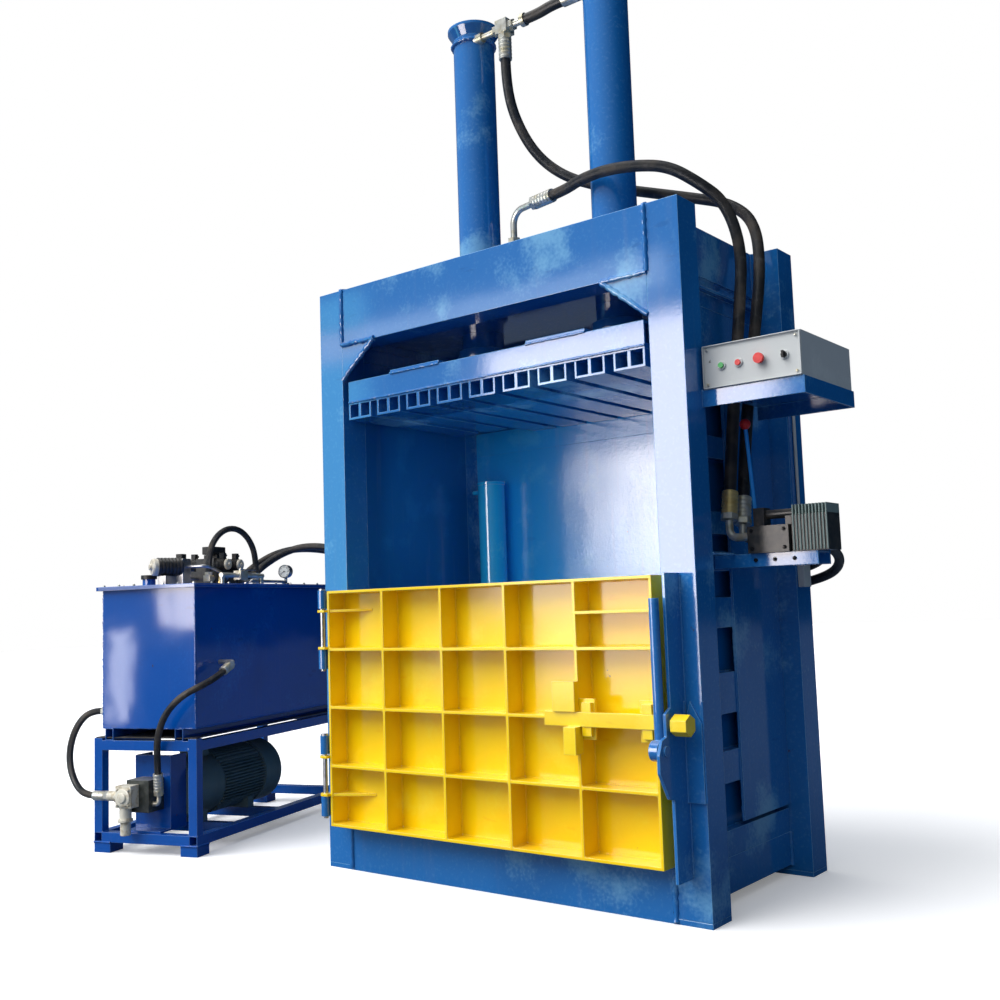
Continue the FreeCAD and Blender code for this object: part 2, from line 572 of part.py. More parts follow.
def latch():
    """The keeper plate beside the door, its pivoted lever, and the locking screw with its knob."""
    profile = [(FRONT, "latch_low"), (DOOR_FRONT, "latch_low"), (DOOR_FRONT, "470"), ("-668", "478"),
               ("-728", "575"), ("-728", "640"), ("-705", "690"), ("-672", "700"), ("-672", "780"),
               (DOOR_FRONT, "800"), (DOOR_FRONT, "latch_high"), (FRONT, "latch_high")]
    plate = outline("YZ", profile, "latch_x", "latch_thick")
    pivot_hole = rod("x", ("pivot_y", "pivot_z"), ("latch_x - 1", f"{LATCH_OUT} + 1"), "pivot_radius")
    stud_hole = rod("x", ("knob_y", "knob_z"), ("latch_x - 1", f"{LATCH_OUT} + 1"), "stud_radius + running_gap")
    pad = outline("XZ", [(LATCH_OUT, "447"), ("frame_width/2", "447"), ("frame_width/2", "735"),
                         ("955", "815"), (LATCH_OUT, "735")], f"{FRONT} - latch_thick", "latch_thick")
    pin = fuse(rod("x", ("pivot_y", "pivot_z"), ("latch_x - 46", f"{LATCH_OUT} + 8"), "pivot_radius"),
               rod("x", ("pivot_y", "pivot_z"), (f"{LATCH_OUT} + 0.3", f"{LATCH_OUT} + 8"), "pivot_radius + 6"))
    subpart("latch_plate", group(cut(plate, pivot_hole, stud_hole), pad, pin))
    boss = rod("x", ("pivot_y", "pivot_z"), ("lever_x - 16", "latch_x - 2"), "boss_radius")
    pipe = rod("z", ("lever_x", "lever_y"), ("lever_low", "lever_high"), "lever_radius")
    eye = rod("x", ("pivot_y", "pivot_z"), ("lever_x - 60", "latch_x"), "pivot_radius + running_gap")
    subpart("latch_lever", cut(fuse(boss, pipe), eye))
    stud = rod("x", ("knob_y", "knob_z"), ("door_half + 10", "knob_low"), "stud_radius")
    knob = hexagon("x", ("knob_y", "knob_z"), ("knob_low", "knob_high"), "knob_radius")
    collar = rod("x", ("knob_y", "knob_z"), (f"{LATCH_OUT} + 0.3", "knob_low"), "stud_radius + 10")
    subpart("lock_screw", fuse(stud, knob, collar))


# ---- control box -------------------------------------------------------------------------------

BUTTONS = (("start_button", 1090), ("stop_button", 1160), ("emergency_button", 1250), ("mode_switch", 1345))


def control_box():
    """The shelf on the right front post, and a shallow box on it that a hinged panel closes."""
    end, front, back = "shelf_end", "shelf_front", "shelf_back"
    low = "(shelf_top - shelf_bar)"
    plate = box(("frame_width/2 + 5", end), (front, back), ("shelf_top - shelf_thick", "shelf_top"))
    bars = [box(("frame_width/2", end), (front, f"{front} + shelf_thick"), (low, "shelf_top")),
            box((f"{end} - shelf_thick", end), (front, back), (low, "shelf_top")),
            box(("frame_width/2 + 5", end), (f"{back} - shelf_thick", back), (low, "shelf_top"))]
    subpart("control_shelf", fuse(plate, *bars))
    x = ("frame_width/2 + 12", "shelf_end - cabinet_inset")
    y = (CABINET_FRONT, "shelf_back - cabinet_inset")
    shell = box(x, y, ("shelf_top", CABINET_TOP))
    wall = "cabinet_wall"
    room = box((f"{x[0]} + {wall}", f"{x[1]} - {wall}"), (f"{y[0]} - 1", f"{y[1]} - {wall}"),
               (f"shelf_top + {wall}", f"{CABINET_TOP} - {wall}"))
    subpart("control_cabinet", cut(shell, room))
    panel = box((x[0], x[1]), (PANEL_FRONT, PANEL_BACK), ("shelf_top + 1", CABINET_TOP))
    pieces, holes = [panel], []
    for name, place in BUTTONS:
        at = (str(place), "button_z")
        pieces.append(rod("y", at, (BEZEL_FRONT, PANEL_FRONT), "bezel_radius"))
        holes.append(rod("y", at, (f"{BEZEL_FRONT} - 1", f"{PANEL_BACK} + 1"), "button_radius + running_gap"))
    subpart("cabinet_panel", cut(fuse(*pieces), *holes))
    for name, place in BUTTONS:
        at = (str(place), "button_z")
        stem = rod("y", at, (f"{BEZEL_FRONT} - 6", PANEL_BACK), "button_radius")
        if name == "emergency_button":
            stem = fuse(stem, rod("y", at, (f"{BEZEL_FRONT} - 20", f"{BEZEL_FRONT} - 6"), "mushroom_radius"))
        if name == "mode_switch":
            stem = fuse(stem, box((f"{place} - 4", f"{place} + 4"), (f"{BEZEL_FRONT} - 18", f"{BEZEL_FRONT} - 6"),
                                  ("button_z - 13", "button_z + 13")))
        subpart(name, group(stem))


# ---- hand valve --------------------------------------------------------------------------------

def hand_valve():
    """A channel shelf, the valve body with its pilot parts, and the hand lever with a ball knob."""
    y = ("valve_shelf_front", "(valve_shelf_front + valve_shelf_depth)")
    z = ("valve_shelf_top - valve_shelf_tall", "valve_shelf_top")
    wall = "valve_shelf_wall"
    shelf = cut(box((COVER_OUT, "valve_shelf_end"), y, z),
                box((f"{COVER_OUT} - 1", "valve_shelf_end + 1"), (f"{y[0]} + {wall}", f"{y[1]} - {wall}"),
                    (f"{z[0]} - 1", f"{z[1]} - {wall}")))
    subpart("valve_shelf", shelf)
    top = "(valve_shelf_top + valve_height)"
    end = "(valve_x + valve_length)"
    block = box(("valve_x", end), ("valve_front", "valve_back"), ("valve_shelf_top", top))
    coil = box((f"{end} + 8", f"{end} + 152"), ("valve_front + 15", "valve_back - 55"),
               ("valve_shelf_top", f"{top} + 35"))
    neck = rod("x", ("valve_front + 65", "valve_shelf_top + 60"), (end, f"{end} + 8"), "30")
    riser = box(("valve_x + 15", "valve_x + 60"), ("valve_front + 30", "valve_front + 90"), (top, f"{top} + 72"))
    spool = rod("x", ("valve_front + 60", f"{top} + 45"), ("valve_x + 60", f"{end} + 50"), "18")
    stand = box((f"{end} - 30", f"{end} - 6"), ("valve_front + 45", "valve_front + 75"), (top, f"{top} + 40"))
    spindle = rod("x", ("handle_y", "handle_z"), ("handle_x - 14", "valve_x"), "9")
    subpart("valve_block", fuse(block, coil, neck, riser, spool, stand, spindle))
    boss = rod("x", ("handle_y", "handle_z"), ("handle_x - 11", "handle_x + 11"), "17")
    lean = math.radians(size("handle_lean"))
    stick = doc.addObject("Part::Cylinder", "stick")
    stick.setExpression("Radius", bound("handle_radius"))
    stick.setExpression("Height", bound("handle_length"))
    stick.Placement = Placement(Vector(), Rotation(Vector(1, 0, 0), size("handle_lean")))
    stick.setExpression("Placement.Base.x", bound("handle_x"))
    stick.setExpression("Placement.Base.y", bound(f"handle_y - 12 * {math.sin(lean):.6f}"))
    stick.setExpression("Placement.Base.z", bound(f"handle_z + 12 * {math.cos(lean):.6f}"))
    eye = rod("x", ("handle_y", "handle_z"), ("handle_x - 20", "handle_x + 20"), "9 + running_gap")
    subpart("valve_lever", cut(fuse(boss, stick), eye))
    reach = "(handle_length + 12 + ball_radius - 1)"
    knob = ball(("handle_x", f"handle_y - {reach} * {math.sin(lean):.6f}",
                 f"handle_z + {reach} * {math.cos(lean):.6f}"), "ball_radius")
    subpart("valve_knob", cut(knob, stick))


# ---- power unit, in its own frame: x to its right, y away from the feeding side -----------------

def skid():
    """A welded tube skid: side rails on feet, corner tubes, top rails and the tank's bearers."""
    size_, wall = "tube_size", "tube_wall"
    length = ("0", "unit_length")
    sides = ((UNIT_LEFT, f"{UNIT_LEFT} + {size_}"), (f"-{size_}", "0"))
    ends = (("0", size_), (f"unit_length - {size_}", "unit_length"))
    low, high = ("skid_foot_height", f"(skid_foot_height + {size_})"), (f"(rail_top - {size_})", "rail_top")
    across = (f"{UNIT_LEFT} + {size_}", f"-{size_}")
    pieces = []
    for x in sides:
        pieces.append(box_tube("y", x, length, low, wall))
        pieces.append(box_tube("y", x, (size_, f"unit_length - {size_}"), high, wall))
        for y in ends:
            pieces.append(box_tube("z", x, y, (low[1], "skid_top"), wall))
    for y in (*ends, ("340", "390"), ("780", "830")):
        pieces.append(box_tube("x", across, y, low, wall))
    for y in ends:
        pieces.append(box_tube("x", across, y, high, wall))
    for x in ((UNIT_LEFT, f"{UNIT_LEFT} + skid_foot"), ("-skid_foot", "0")):
        for y in (("0", "skid_foot"), ("unit_length - skid_foot", "unit_length")):
            pieces.append(box(x, y, ("0", "skid_foot_height")))
    for x in ((f"{UNIT_LEFT} + 70", f"{UNIT_LEFT} + 120"), ("-130", "-80")):
        pieces.append(box_tube("y", x, ("0", "unit_length"), ("rail_top", "tank_low"), wall))
    unit_subpart("skid_frame", *pieces)


def tank():
    """An open welded tank and the lid that closes it over a turned-down skirt."""
    x = (f"{UNIT_LEFT} + tank_side", "-tank_inset")
    y = ("tank_inset/2", "unit_length - tank_inset/2")
    wall = "tank_wall"
    shell = box(x, y, ("tank_low", "tank_top"))
    room = box((f"{x[0]} + {wall}", f"{x[1]} - {wall}"), (f"{y[0]} + {wall}", f"{y[1]} - {wall}"),
               (f"tank_low + {wall}", "tank_top + 1"))
    unit_subpart("oil_tank", cut(shell, room))
    neck = tube("z", ("-480", "250"), ("lid_top", "lid_top + 40"), "34", "27")
    over = "lid_overhang"
    lid = box((f"{x[0]} - {over}*2", f"{x[1]} + {over}"), (f"{y[0]} - {over}", f"{y[1]} + {over}"),
              ("lid_top - lid_skirt", "lid_top"))
    under = box((f"{x[0]} - {over}*2 + lid_wall", f"{x[1]} + {over} - lid_wall"),
                (f"{y[0]} - {over} + lid_wall", f"{y[1]} + {over} - lid_wall"),
                ("lid_top - lid_skirt - 1", "tank_top"))
    unit_subpart("tank_lid", cut(lid, under), neck)


def motor():
    """A finned motor with its cowl and fan, the rotor on one shaft with coupling and pump shaft."""
    at = ("shaft_a", "shaft_z")
    frame = rod("y", at, ("motor_start", "fin_end"), "motor_radius")
    shield = rod("y", at, ("motor_start", "motor_start + 50"), "shield_radius")
    saddle = rod("y", at, ("motor_start + 50", "fin_start"), "shield_radius - 4")
    envelope = rod("y", at, ("fin_start", "fin_end"), "fin_radius")
    plates = []
    for step in range(-7, 8):
        level = f"{step} * fin_pitch"
        span = ("fin_start", "fin_end")
        thin = (f"{level} - fin_thick/2", f"{level} + fin_thick/2")
        plates.append(box(("shaft_a - fin_radius", "shaft_a + fin_radius"), span,
                          (f"shaft_z + {thin[0]}", f"shaft_z + {thin[1]}")))
        plates.append(box((f"shaft_a + {thin[0]}", f"shaft_a + {thin[1]}"), span,
                          ("shaft_z - fin_radius", "shaft_z + fin_radius")))
    fins = common(envelope, fuse(*plates))
    feet = []
    low = "(skid_foot_height + tube_size)"
    for start in ("335", "775"):
        feet.append(box(("shaft_a - 130", "shaft_a + 130"), (start, f"{start} + 60"), (low, "shaft_z - 120")))
    terminal = box(("shaft_a - 50", "shaft_a + 60"), ("400", "510"), ("shaft_z + 120", "rail_top - tube_size - 8"))
    solid = fuse(frame, shield, saddle, fins, *feet, terminal)
    bore = rod("y", at, ("motor_start + 50", "fin_end - 40"), "stator_bore")
    shaft_hole = rod("y", at, ("motor_start - 1", "fin_end + 1"), "shaft_radius + running_gap")
    unit_subpart("motor_body", cut(solid, bore, shaft_hole))
    cup = cut(rod("y", at, ("fin_end", "cowl_end"), "cowl_radius"),
              rod("y", at, ("fin_end - 1", "cowl_end - cowl_wall"), "cowl_radius - cowl_wall"))
    slots = []
    for step in range(-5, 6):
        reach = f"{math.sqrt(1 - (step / 6.5) ** 2):.4f} * (cowl_radius - 30)"
        slots.append(box((f"shaft_a - {reach}", f"shaft_a + {reach}"), ("cowl_end - cowl_wall - 1", "cowl_end + 1"),
                         (f"shaft_z + {step} * 24 - 5", f"shaft_z + {step} * 24 + 5")))
    rim = cut(rod("y", at, ("fin_end", "fin_end + 8"), "cowl_radius - cowl_wall"),
              rod("y", at, ("fin_end - 1", "fin_end + 9"), "motor_radius - 10"))
    unit_subpart("fan_cowl", fuse(cut(cup, *slots), rim))
    shaft = rod("y", at, ("bracket_start + 40", "fin_end + 110"), "shaft_radius")
    core = rod("y", at, ("motor_start + 55", "fin_end - 45"), "rotor_radius")
    coupling = rod("y", at, ("bracket_start + 28", "motor_start - 12"), "46")
    pump_shaft = rod("y", at, ("pump_start + 30", "bracket_start + 40"), "pump_shaft")
    unit_subpart("motor_rotor", fuse(shaft, core, coupling, pump_shaft))
    hub = rod("y", at, ("fin_end + 40", "fin_end + 100"), "44")
    blades = []
    for k in range(6):
        blade = doc.addObject("Part::Box", "blade")
        blade.Length, blade.Width, blade.Height = 6, 56, 1
        blade.setExpression("Height", bound("fan_radius"))
        blade.Placement = Placement(Vector(), Rotation(Vector(0, 1, 0), 60 * k))
        blade.setExpression("Placement.Base.x", bound("shaft_a"))
        blade.setExpression("Placement.Base.y", bound("fin_end + 42"))
        blade.setExpression("Placement.Base.z", bound("shaft_z"))
        blades.append(blade)
    hole = rod("y", at, ("fin_end + 30", "fin_end + 111"), "shaft_radius + running_gap")
    unit_subpart("motor_fan", cut(fuse(hub, *blades), hole))


def pump():
    """The bracket with its lantern, and the gear pump on it with its cast suction head in front."""
    at = ("shaft_a", "shaft_z")
    start, thick = "bracket_start", "bracket_thick"
    low = "(skid_foot_height + tube_size)"
    sides = ("shaft_a - bracket_half", "shaft_a + bracket_half")
    plate = box(sides, (start, f"{start} + {thick}"), (low, "bracket_top"))
    foot = box(sides, ("tube_size/2", start), (low, f"{low} + 10"))
    lantern = rod("y", at, (f"{start} + {thick}", "motor_start"), "lantern_radius")
    inside = rod("y", at, (f"{start} + {thick} - 1", "motor_start + 1"), "lantern_radius - lantern_wall")
    window = box(sides, (f"{start} + {thick} + 14", "motor_start - 14"), ("shaft_z - 45", "shaft_z + 45"))
    hole = rod("y", at, (f"{start} - 1", f"{start} + {thick} + 1"), "52")
    cheeks = [box(span, (f"{start} + {thick}", "motor_start"), (low, "bracket_top"))
              for span in ((sides[0], f"{sides[0]} + cheek_thick"), (f"{sides[1]} - cheek_thick", sides[1]))]
    unit_subpart("pump_bracket", fuse(cut(fuse(plate, foot, lantern), inside, window, hole), *cheeks))
    half = "pump_half"
    body = box((f"shaft_a - {half}", f"shaft_a + {half}"), ("pump_start", start),
               (f"shaft_z - {half} - 2", f"shaft_z + {half} + 22"))
    bore = rod("y", at, ("pump_start + 20", f"{start} + 1"), "pump_shaft + running_gap")
    left = "(shaft_a - 88)"
    front, port = "(pump_start - head_depth)", "(pump_start - head_depth/2)"
    head = fuse(box((left, f"{left} + head_width"), (front, "pump_start"), ("shaft_z - 40", "shaft_z + 70")),
                rod("z", (f"{left} + head_radius", port), ("shaft_z - 98", "shaft_z + 48"), "head_radius - 8"),
                rod("z", (f"{left} + head_radius", port), ("shaft_z - 112", "shaft_z - 98"), "head_radius - 1"),
                rod("z", (f"{left} + head_radius", port), (f"{low}", "shaft_z - 112"), "foot_pipe"),
                rod("x", (port, "shaft_z + 14"), (f"{left} - 12", left), "34"),
                rod("x", (port, "shaft_z + 14"), (f"{left} - 62", f"{left} - 12"), "25"))
    unit_subpart("pump_body", cut(body, bore), head)


def lid_fittings():
    """What stands on the tank lid: manifold with its valves, gauge, filler, ball valve and filter."""
    top = "lid_top"
    block = box(("-380", "-200"), ("470", "720"), (top, f"{top} + 80"))
    valves = []
    for start in (490, 610):
        body = box(("-350", "-230"), (f"{start}", f"{start} + 70"), (f"{top} + 80", f"{top} + 150"))
        coil = rod("x", (f"{start} + 35", f"{top} + 115"), ("-230", "-165"), "28")
        other = rod("x", (f"{start} + 35", f"{top} + 115"), ("-415", "-350"), "28")
        valves += [body, coil, other]
    filter_bowl = rod("z", ("-470", "1010"), (top, f"{top} + 130"), "58")
    filter_head = rod("z", ("-470", "1010"), (f"{top} + 130", f"{top} + 150"), "70")
    unit_subpart("valve_manifold", fuse(block, *valves), fuse(filter_bowl, filter_head))
    stem = rod("z", ("-110", "1040"), (top, f"{top} + 44"), "9")
    dial = rod("y", ("-110", f"{top} + 80"), ("1022", "1058"), "38")
    unit_subpart("pressure_gauge", fuse(stem, dial, box(("-128", "-92"), ("1024", "1056"), (top, f"{top} + 12"))))
    plug = rod("z", ("-480", "250"), (f"{top} + 10", f"{top} + 40.3"), "27 - running_gap")
    unit_subpart("filler_cap", fuse(plug, rod("z", ("-480", "250"), (f"{top} + 40.3", f"{top} + 62"), "42")))
    riser = [rod("z", ("-100", place), (top, f"{top} + 50"), "13") for place in ("380", "760")]
    pipe = rod("y", ("-100", f"{top} + 50"), ("367", "773"), "13")
    body = box(("-124", "-76"), ("520", "590"), (f"{top} + 26", f"{top} + 76"))
    post = rod("z", ("-100", "555"), (f"{top} + 76", f"{top} + 92"), "8")
    UNIT_FITTINGS.append(fuse(*riser, pipe, body, post))
    ring = rod("z", ("-100", "555"), (f"{top} + 77", f"{top} + 87"), "15")
    arm = box(("-110", "-90"), ("560", "690"), (f"{top} + 79", f"{top} + 85"))
    eye = rod("z", ("-100", "555"), (f"{top} + 70", f"{top} + 95"), "8 + running_gap")
    unit_subpart("ball_valve_lever", cut(fuse(ring, arm), eye))


# ---- hoses: straight runs joined by tangent arcs ------------------------------------------------

def route(points):
    """The centreline through the points: each corner is an arc as large as its two runs allow."""
    edges, start, radii = [], points[0], []
    for before, corner, after in zip(points, points[1:], points[2:]):
        back, forth = before - corner, after - corner
        turn = math.pi - back.getAngle(forth)
        reach = 0.45 * min(back.Length, forth.Length)
        radii.append(reach / math.tan(turn / 2))
        back.normalize()
        forth.normalize()
        first, last = corner + back * reach, corner + forth * reach
        half = (back + forth).normalize()
        centre = corner + half * (radii[-1] / math.cos(turn / 2))
        middle = centre - half * radii[-1]
        edges += [Part.LineSegment(start, first).toShape(), Part.Arc(first, middle, last).toShape()]
        start = last
    edges.append(Part.LineSegment(start, points[-1]).toShape())
    return Part.Wire(edges), radii


def bent_pipe(points, radius):
    """A round bar swept along its route; also the route itself and its bend radii."""
    wire, radii = route(points)
    ring = Part.Wire([Part.Circle(points[0], (points[1] - points[0]).normalize(), size(radius)).toShape()])
    made = doc.addObject("Part::Feature", "pipe")
    made.Shape = wire.makePipeShell([ring], True, False)
    return made, wire, radii


def along(start, direction, length, radius, kind="Part::Cylinder"):
    """A round bar, or a hexagon, from a point in any direction."""
    made = doc.addObject(kind, "fitting")
    made.Placement = Placement(start, Rotation(Vector(0, 0, 1), direction))
    made.setExpression("Height", bound(str(length)))
    made.setExpression("Radius" if kind == "Part::Cylinder" else "Circumradius", bound(radius))
    return made


def hose_end(points, radius, crimp):
    """The crimped sleeve and the nut beyond a hose's first point, and where the nut ends."""
    outward = (points[0] - points[1]).normalize()
    sleeve = along(points[0], outward, crimp, f"{radius} + crimp_wall")
    nut = along(points[0] + outward * crimp, outward, "nut_length", f"({radius} + crimp_wall) * 1.12", "Part::Prism")
    return fuse(sleeve, nut), points[0] + outward * (crimp + size("nut_length"))


def hose(label, points, radius, name=subpart):
    """A hose as one plain tube along its route."""
    made, wire, radii = bent_pipe(points, radius)
    expected = math.pi * size(radius) ** 2 * wire.Length
    print(f"{label}: length {wire.Length:.0f}, volume {made.Shape.Volume / expected:.4f} of section x length, "
          f"radii {min(radii):.0f} to {max(radii):.0f}")
    name(label, made)
    return made


def main_hoses():
    """The hoses of the two cylinders with their steel fittings."""
    port_y, port_z, tee_x = size("port_y"), size("port_z"), size("tee_x")
    barrels = both_sides(rod("z", ("cylinder_offset", "0"), ("cylinder_low", "cylinder_top"), "cylinder_outer"))

    low = [Vector(77, -35, 3110), Vector(172, -56, 3108), Vector(300, -128, 3100), Vector(466, -176, 3086),
           Vector(635, -190, 3056), Vector(776, -172, 3018), Vector(870, -98, 2946), Vector(944, 6, 2866),
           Vector(964, 96, 2680), Vector(966, 44, 2430), Vector(966, -34, 2116), Vector(972, -112, 1830),
           Vector(978, -165, 1610)]
    hose("rod_side_hose", low, "hose_radius")
    start, riser_top = hose_end(low, "hose_radius", 110)
    corner = Vector(-200, 24, riser_top.z)
    foot = Vector(corner.x, corner.y, size("low_port_z"))
    inlet = Vector(-300, 0, size("low_port_z"))
    riser = bent_pipe([riser_top, corner, foot], "pipe_radius")[0]
    entry = bent_pipe([foot + Vector(0, 0, 60), foot, inlet], "pipe_radius")[0]
    joint = along(Vector(corner.x, corner.y, 2955), Vector(0, 0, 1), "nut_length", "pipe_radius * 2", "Part::Prism")
    PRESS_FITTINGS.append(cut(fuse(start, riser, entry, joint), *barrels))
    end, below = hose_end(low[::-1], "hose_radius", 90)
    elbow = bent_pipe([below, Vector(below.x, -192, 1428), Vector(size("valve_x"), -192, 1428)], "pipe_radius")[0]
    PRESS_FITTINGS.append(fuse(end, elbow))

    down = port_z - size("tee_half") - size("nut_length") - 100
    high = [Vector(tee_x, port_y, down), Vector(tee_x, port_y, 3712), Vector(-132, -22, 3548), Vector(-84, 62, 3388),
            Vector(28, 134, 3266), Vector(214, 180, 3176), Vector(440, 200, 3096), Vector(664, 236, 3020),
            Vector(832, 280, 2964), Vector(938, 300, 2858), Vector(965, 274, 2640), Vector(966, 180, 2350),
            Vector(970, 66, 2030), Vector(980, -24, 1750), Vector(992, -76, 1590)]
    hose("cap_side_hose", high, "hose_radius")
    sleeve, _ = hose_end([high[0], high[0] - Vector(0, 0, 100)], "hose_radius", 100)
    cross = [Vector(-20, port_y, port_z), Vector(58, port_y, port_z),
             Vector(134, port_y - 3, port_z + 8), Vector(204, port_y - 3, port_z + 8)]
    hose("cross_hose", cross, "hose_radius")
    half = "tee_half"
    block = box((f"tee_x - {half}", f"tee_x + {half}"), (f"port_y - {half}", f"port_y + {half}"),
                (f"port_z - {half}", f"port_z + {half}"))
    arm = rod("x", ("port_y", "port_z"), ("-cylinder_offset", "-20"), "pipe_radius")
    nuts = [hexagon("x", ("port_y", "port_z"), (f"tee_x {step}", f"tee_x {step} + nut_length"), "pipe_radius * 1.8")
            for step in ("- tee_half - nut_length", "+ tee_half")]
    collar = rod("x", ("port_y", "port_z"), ("-44", "-20"), "hose_radius + crimp_wall")
    boss = rod("x", ("port_y", "port_z"), ("-345", "-cylinder_offset + cylinder_outer + 6"), "pipe_radius * 1.6")
    PRESS_FITTINGS.append(cut(fuse(sleeve, block, arm, *nuts, collar, boss), *barrels))
    far, nut_end = hose_end(cross[::-1], "hose_radius", 60)
    into = along(nut_end, Vector(1, 0, 0), 60, "pipe_radius * 1.4")
    PRESS_FITTINGS.append(cut(fuse(far, into), *barrels))
    end, below = hose_end(high[::-1], "hose_radius", 90)
    elbow = bent_pipe([below, Vector(below.x + 3, -122, 1424), Vector(size("valve_x"), -122, 1424)],
                      "pipe_radius")[0]
    PRESS_FITTINGS.append(fuse(end, elbow))


def long_lines():
    """The supply and return hoses from the hand valve, behind the press, to the power unit."""
    supply = [Vector(1120, 88, 1412), Vector(1122, 198, 1408), Vector(1118, 318, 1396), Vector(1096, 442, 1368),
              Vector(1046, 540, 1340), Vector(950, 590, 1314), Vector(800, 586, 1298), Vector(540, 580, 1280),
              Vector(190, 584, 1268), Vector(-180, 580, 1266), Vector(-540, 584, 1278), Vector(-800, 588, 1298),
              Vector(-980, 592, 1316), Vector(-1220, 604, 1350), Vector(-1480, 576, 1414), Vector(-1724, 494, 1500),
              Vector(-1922, 420, 1570), Vector(-2104, 358, 1594), unit_point(-150, 1100, 1560),
              unit_point(-228, 990, 1482), unit_point(-256, 900, 1408), unit_point(-256, 806, 1408)]
    drain = [Vector(1200, 88, 1412), Vector(1204, 202, 1402), Vector(1200, 334, 1376), Vector(1170, 466, 1334),
             Vector(1096, 562, 1286), Vector(960, 598, 1250), Vector(800, 588, 1232), Vector(540, 582, 1214),
             Vector(190, 586, 1202), Vector(-180, 582, 1200), Vector(-540, 586, 1212), Vector(-800, 590, 1232),
             Vector(-985, 596, 1252), Vector(-1230, 618, 1296), Vector(-1490, 606, 1370), Vector(-1740, 556, 1468),
             Vector(-1960, 474, 1550), Vector(-2172, 378, 1586), unit_point(-222, 1114, 1556),
             unit_point(-304, 1004, 1480), unit_point(-332, 912, 1408), unit_point(-332, 806, 1408)]
    lines = []
    for label, points in (("supply_hose", supply), ("return_hose", drain)):
        lines.append(hose(label, points, "line_radius"))
        end, face = hose_end(points, "line_radius", 70)
        PRESS_FITTINGS.append(fuse(end, along(face, Vector(0, -1, 0), face.y - size("valve_back"), "pipe_radius")))
        unit_end, face = hose_end(points[::-1], "line_radius", 44)
        PRESS_FITTINGS.append(fuse(unit_end, along(face, (face - points[-1]).normalize(), 18, "pipe_radius")))
    reach = ("frame_depth/2", "frame_depth/2 + clamp_reach")
    clamps = both_sides(box(("clamp_x - clamp_half", "clamp_x + clamp_half"), reach, ("1200", "1350")))
    PRESS_FITTINGS.extend(cut(clamp, *lines) for clamp in clamps)


def unit_hoses():
    """The pump's hoses and the two over the tank lid, in the power unit's own frame."""
    suction = [Vector(-590, -43, 294), Vector(-648, -43, 294), Vector(-716, -36, 336), Vector(-772, -23, 430),
               Vector(-786, -6, 540), Vector(-754, 14, 648), Vector(-686, 34, 714), Vector(-606, 34, 714)]
    hose("suction_hose", suction, "unit_hose_radius", unit_subpart)
    start, _ = hose_end(suction, "unit_hose_radius", 66)
    collar = along(suction[-1], Vector(1, 0, 0), 26, "unit_hose_radius + crimp_wall", "Part::Prism")
    UNIT_FITTINGS.extend([start, collar])

    pressure = [Vector(-237, 4, 400), Vector(-228, -14, 490), Vector(-208, -38, 590), Vector(-150, -58, 702),
                Vector(-50, -66, 792), Vector(30, -20, 838), Vector(75, 59, 876), Vector(74, 130, 908)]
    hose("pump_hose", pressure, "unit_hose_radius", unit_subpart)
    start, below = hose_end(pressure, "unit_hose_radius", 84)
    lower = bent_pipe([below, Vector(-250, 24, 250), Vector(-282, 24, 250)], "pump_shaft")[0]
    end, above = hose_end(pressure[::-1], "unit_hose_radius", 50)
    upper = bent_pipe([above, Vector(73, 216, 950), Vector(-10, 216, 950)], "pump_shaft")[0]
    UNIT_FITTINGS.extend([fuse(start, lower), fuse(end, upper)])

    arch = [Vector(-224, 430, 1430), Vector(-224, 430, 1526), Vector(-220, 488, 1622), Vector(-212, 584, 1678),
            Vector(-204, 696, 1680), Vector(-198, 794, 1624), Vector(-194, 850, 1527), Vector(-194, 850, 1430)]
    hose("arch_hose", arch, "unit_hose_radius", unit_subpart)
    elbow = box(("-246", "-202"), ("412", "448"), ("1378", "1412"))
    stub = rod("y", ("-224", "1395"), ("448", "470"), "pipe_radius - 2")
    nuts = [along(Vector(-224, 430, 1412), Vector(0, 0, 1), 18, "unit_hose_radius * 1.3", "Part::Prism"),
            along(Vector(-194, 850, size("lid_top")), Vector(0, 0, 1), 72, "unit_hose_radius * 1.2")]
    UNIT_FITTINGS.extend([fuse(elbow, stub, nuts[0]), nuts[1]])


corner_posts()
base_frame()
top_beams()
side_ties()
cylinder_deck()
chamber_floor()
side_walls()
side_ribs()
rear_wall()
cylinders()
piston_rods()
platen_frame()
platen_channels()
upright_cylinder()
door()
hinges()
latch()
control_box()
hand_valve()
skid()
tank()
motor()
pump()
lid_fittings()
main_hoses()
long_lines()
unit_hoses()
subpart("press_fittings", group(*PRESS_FITTINGS))
unit_subpart("unit_fittings", *UNIT_FITTINGS)

doc.recompute()
os.makedirs("parts", exist_ok=True)
faulty = [o.Label for o in doc.Objects if "Invalid" in o.State or "Error" in o.State]
if faulty:
    raise SystemExit(f"these objects failed: {faulty}")
for part in SUBPARTS:
    if part.Shape.isNull() or not part.Shape.isValid() or not part.Shape.Solids:
        raise SystemExit(f"{part.Label} has no valid shape")
for part in SUBPARTS:
    part.Shape.exportStep(os.path.join("parts", part.Label + ".step"))
print(f"{len(SUBPARTS)} sub-parts, {sum(len(p.Shape.Solids) for p in SUBPARTS)} solids")
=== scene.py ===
# %% [markdown]
# # A vertical recycling baler with its power unit
# The real machine is a welded steel frame in blue enamel. Two long hydraulic cylinders push a ribbed
# platen down into a chamber that a yellow door closes, and a separate skid carries the oil tank, motor
# and pump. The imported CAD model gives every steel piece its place. These cells add what makes steel
# look welded, painted and used: enamel that isn't quite flat, beads at the joints, bolts and hoses.

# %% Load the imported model
import math

import bpy
from mathutils import Matrix, Vector


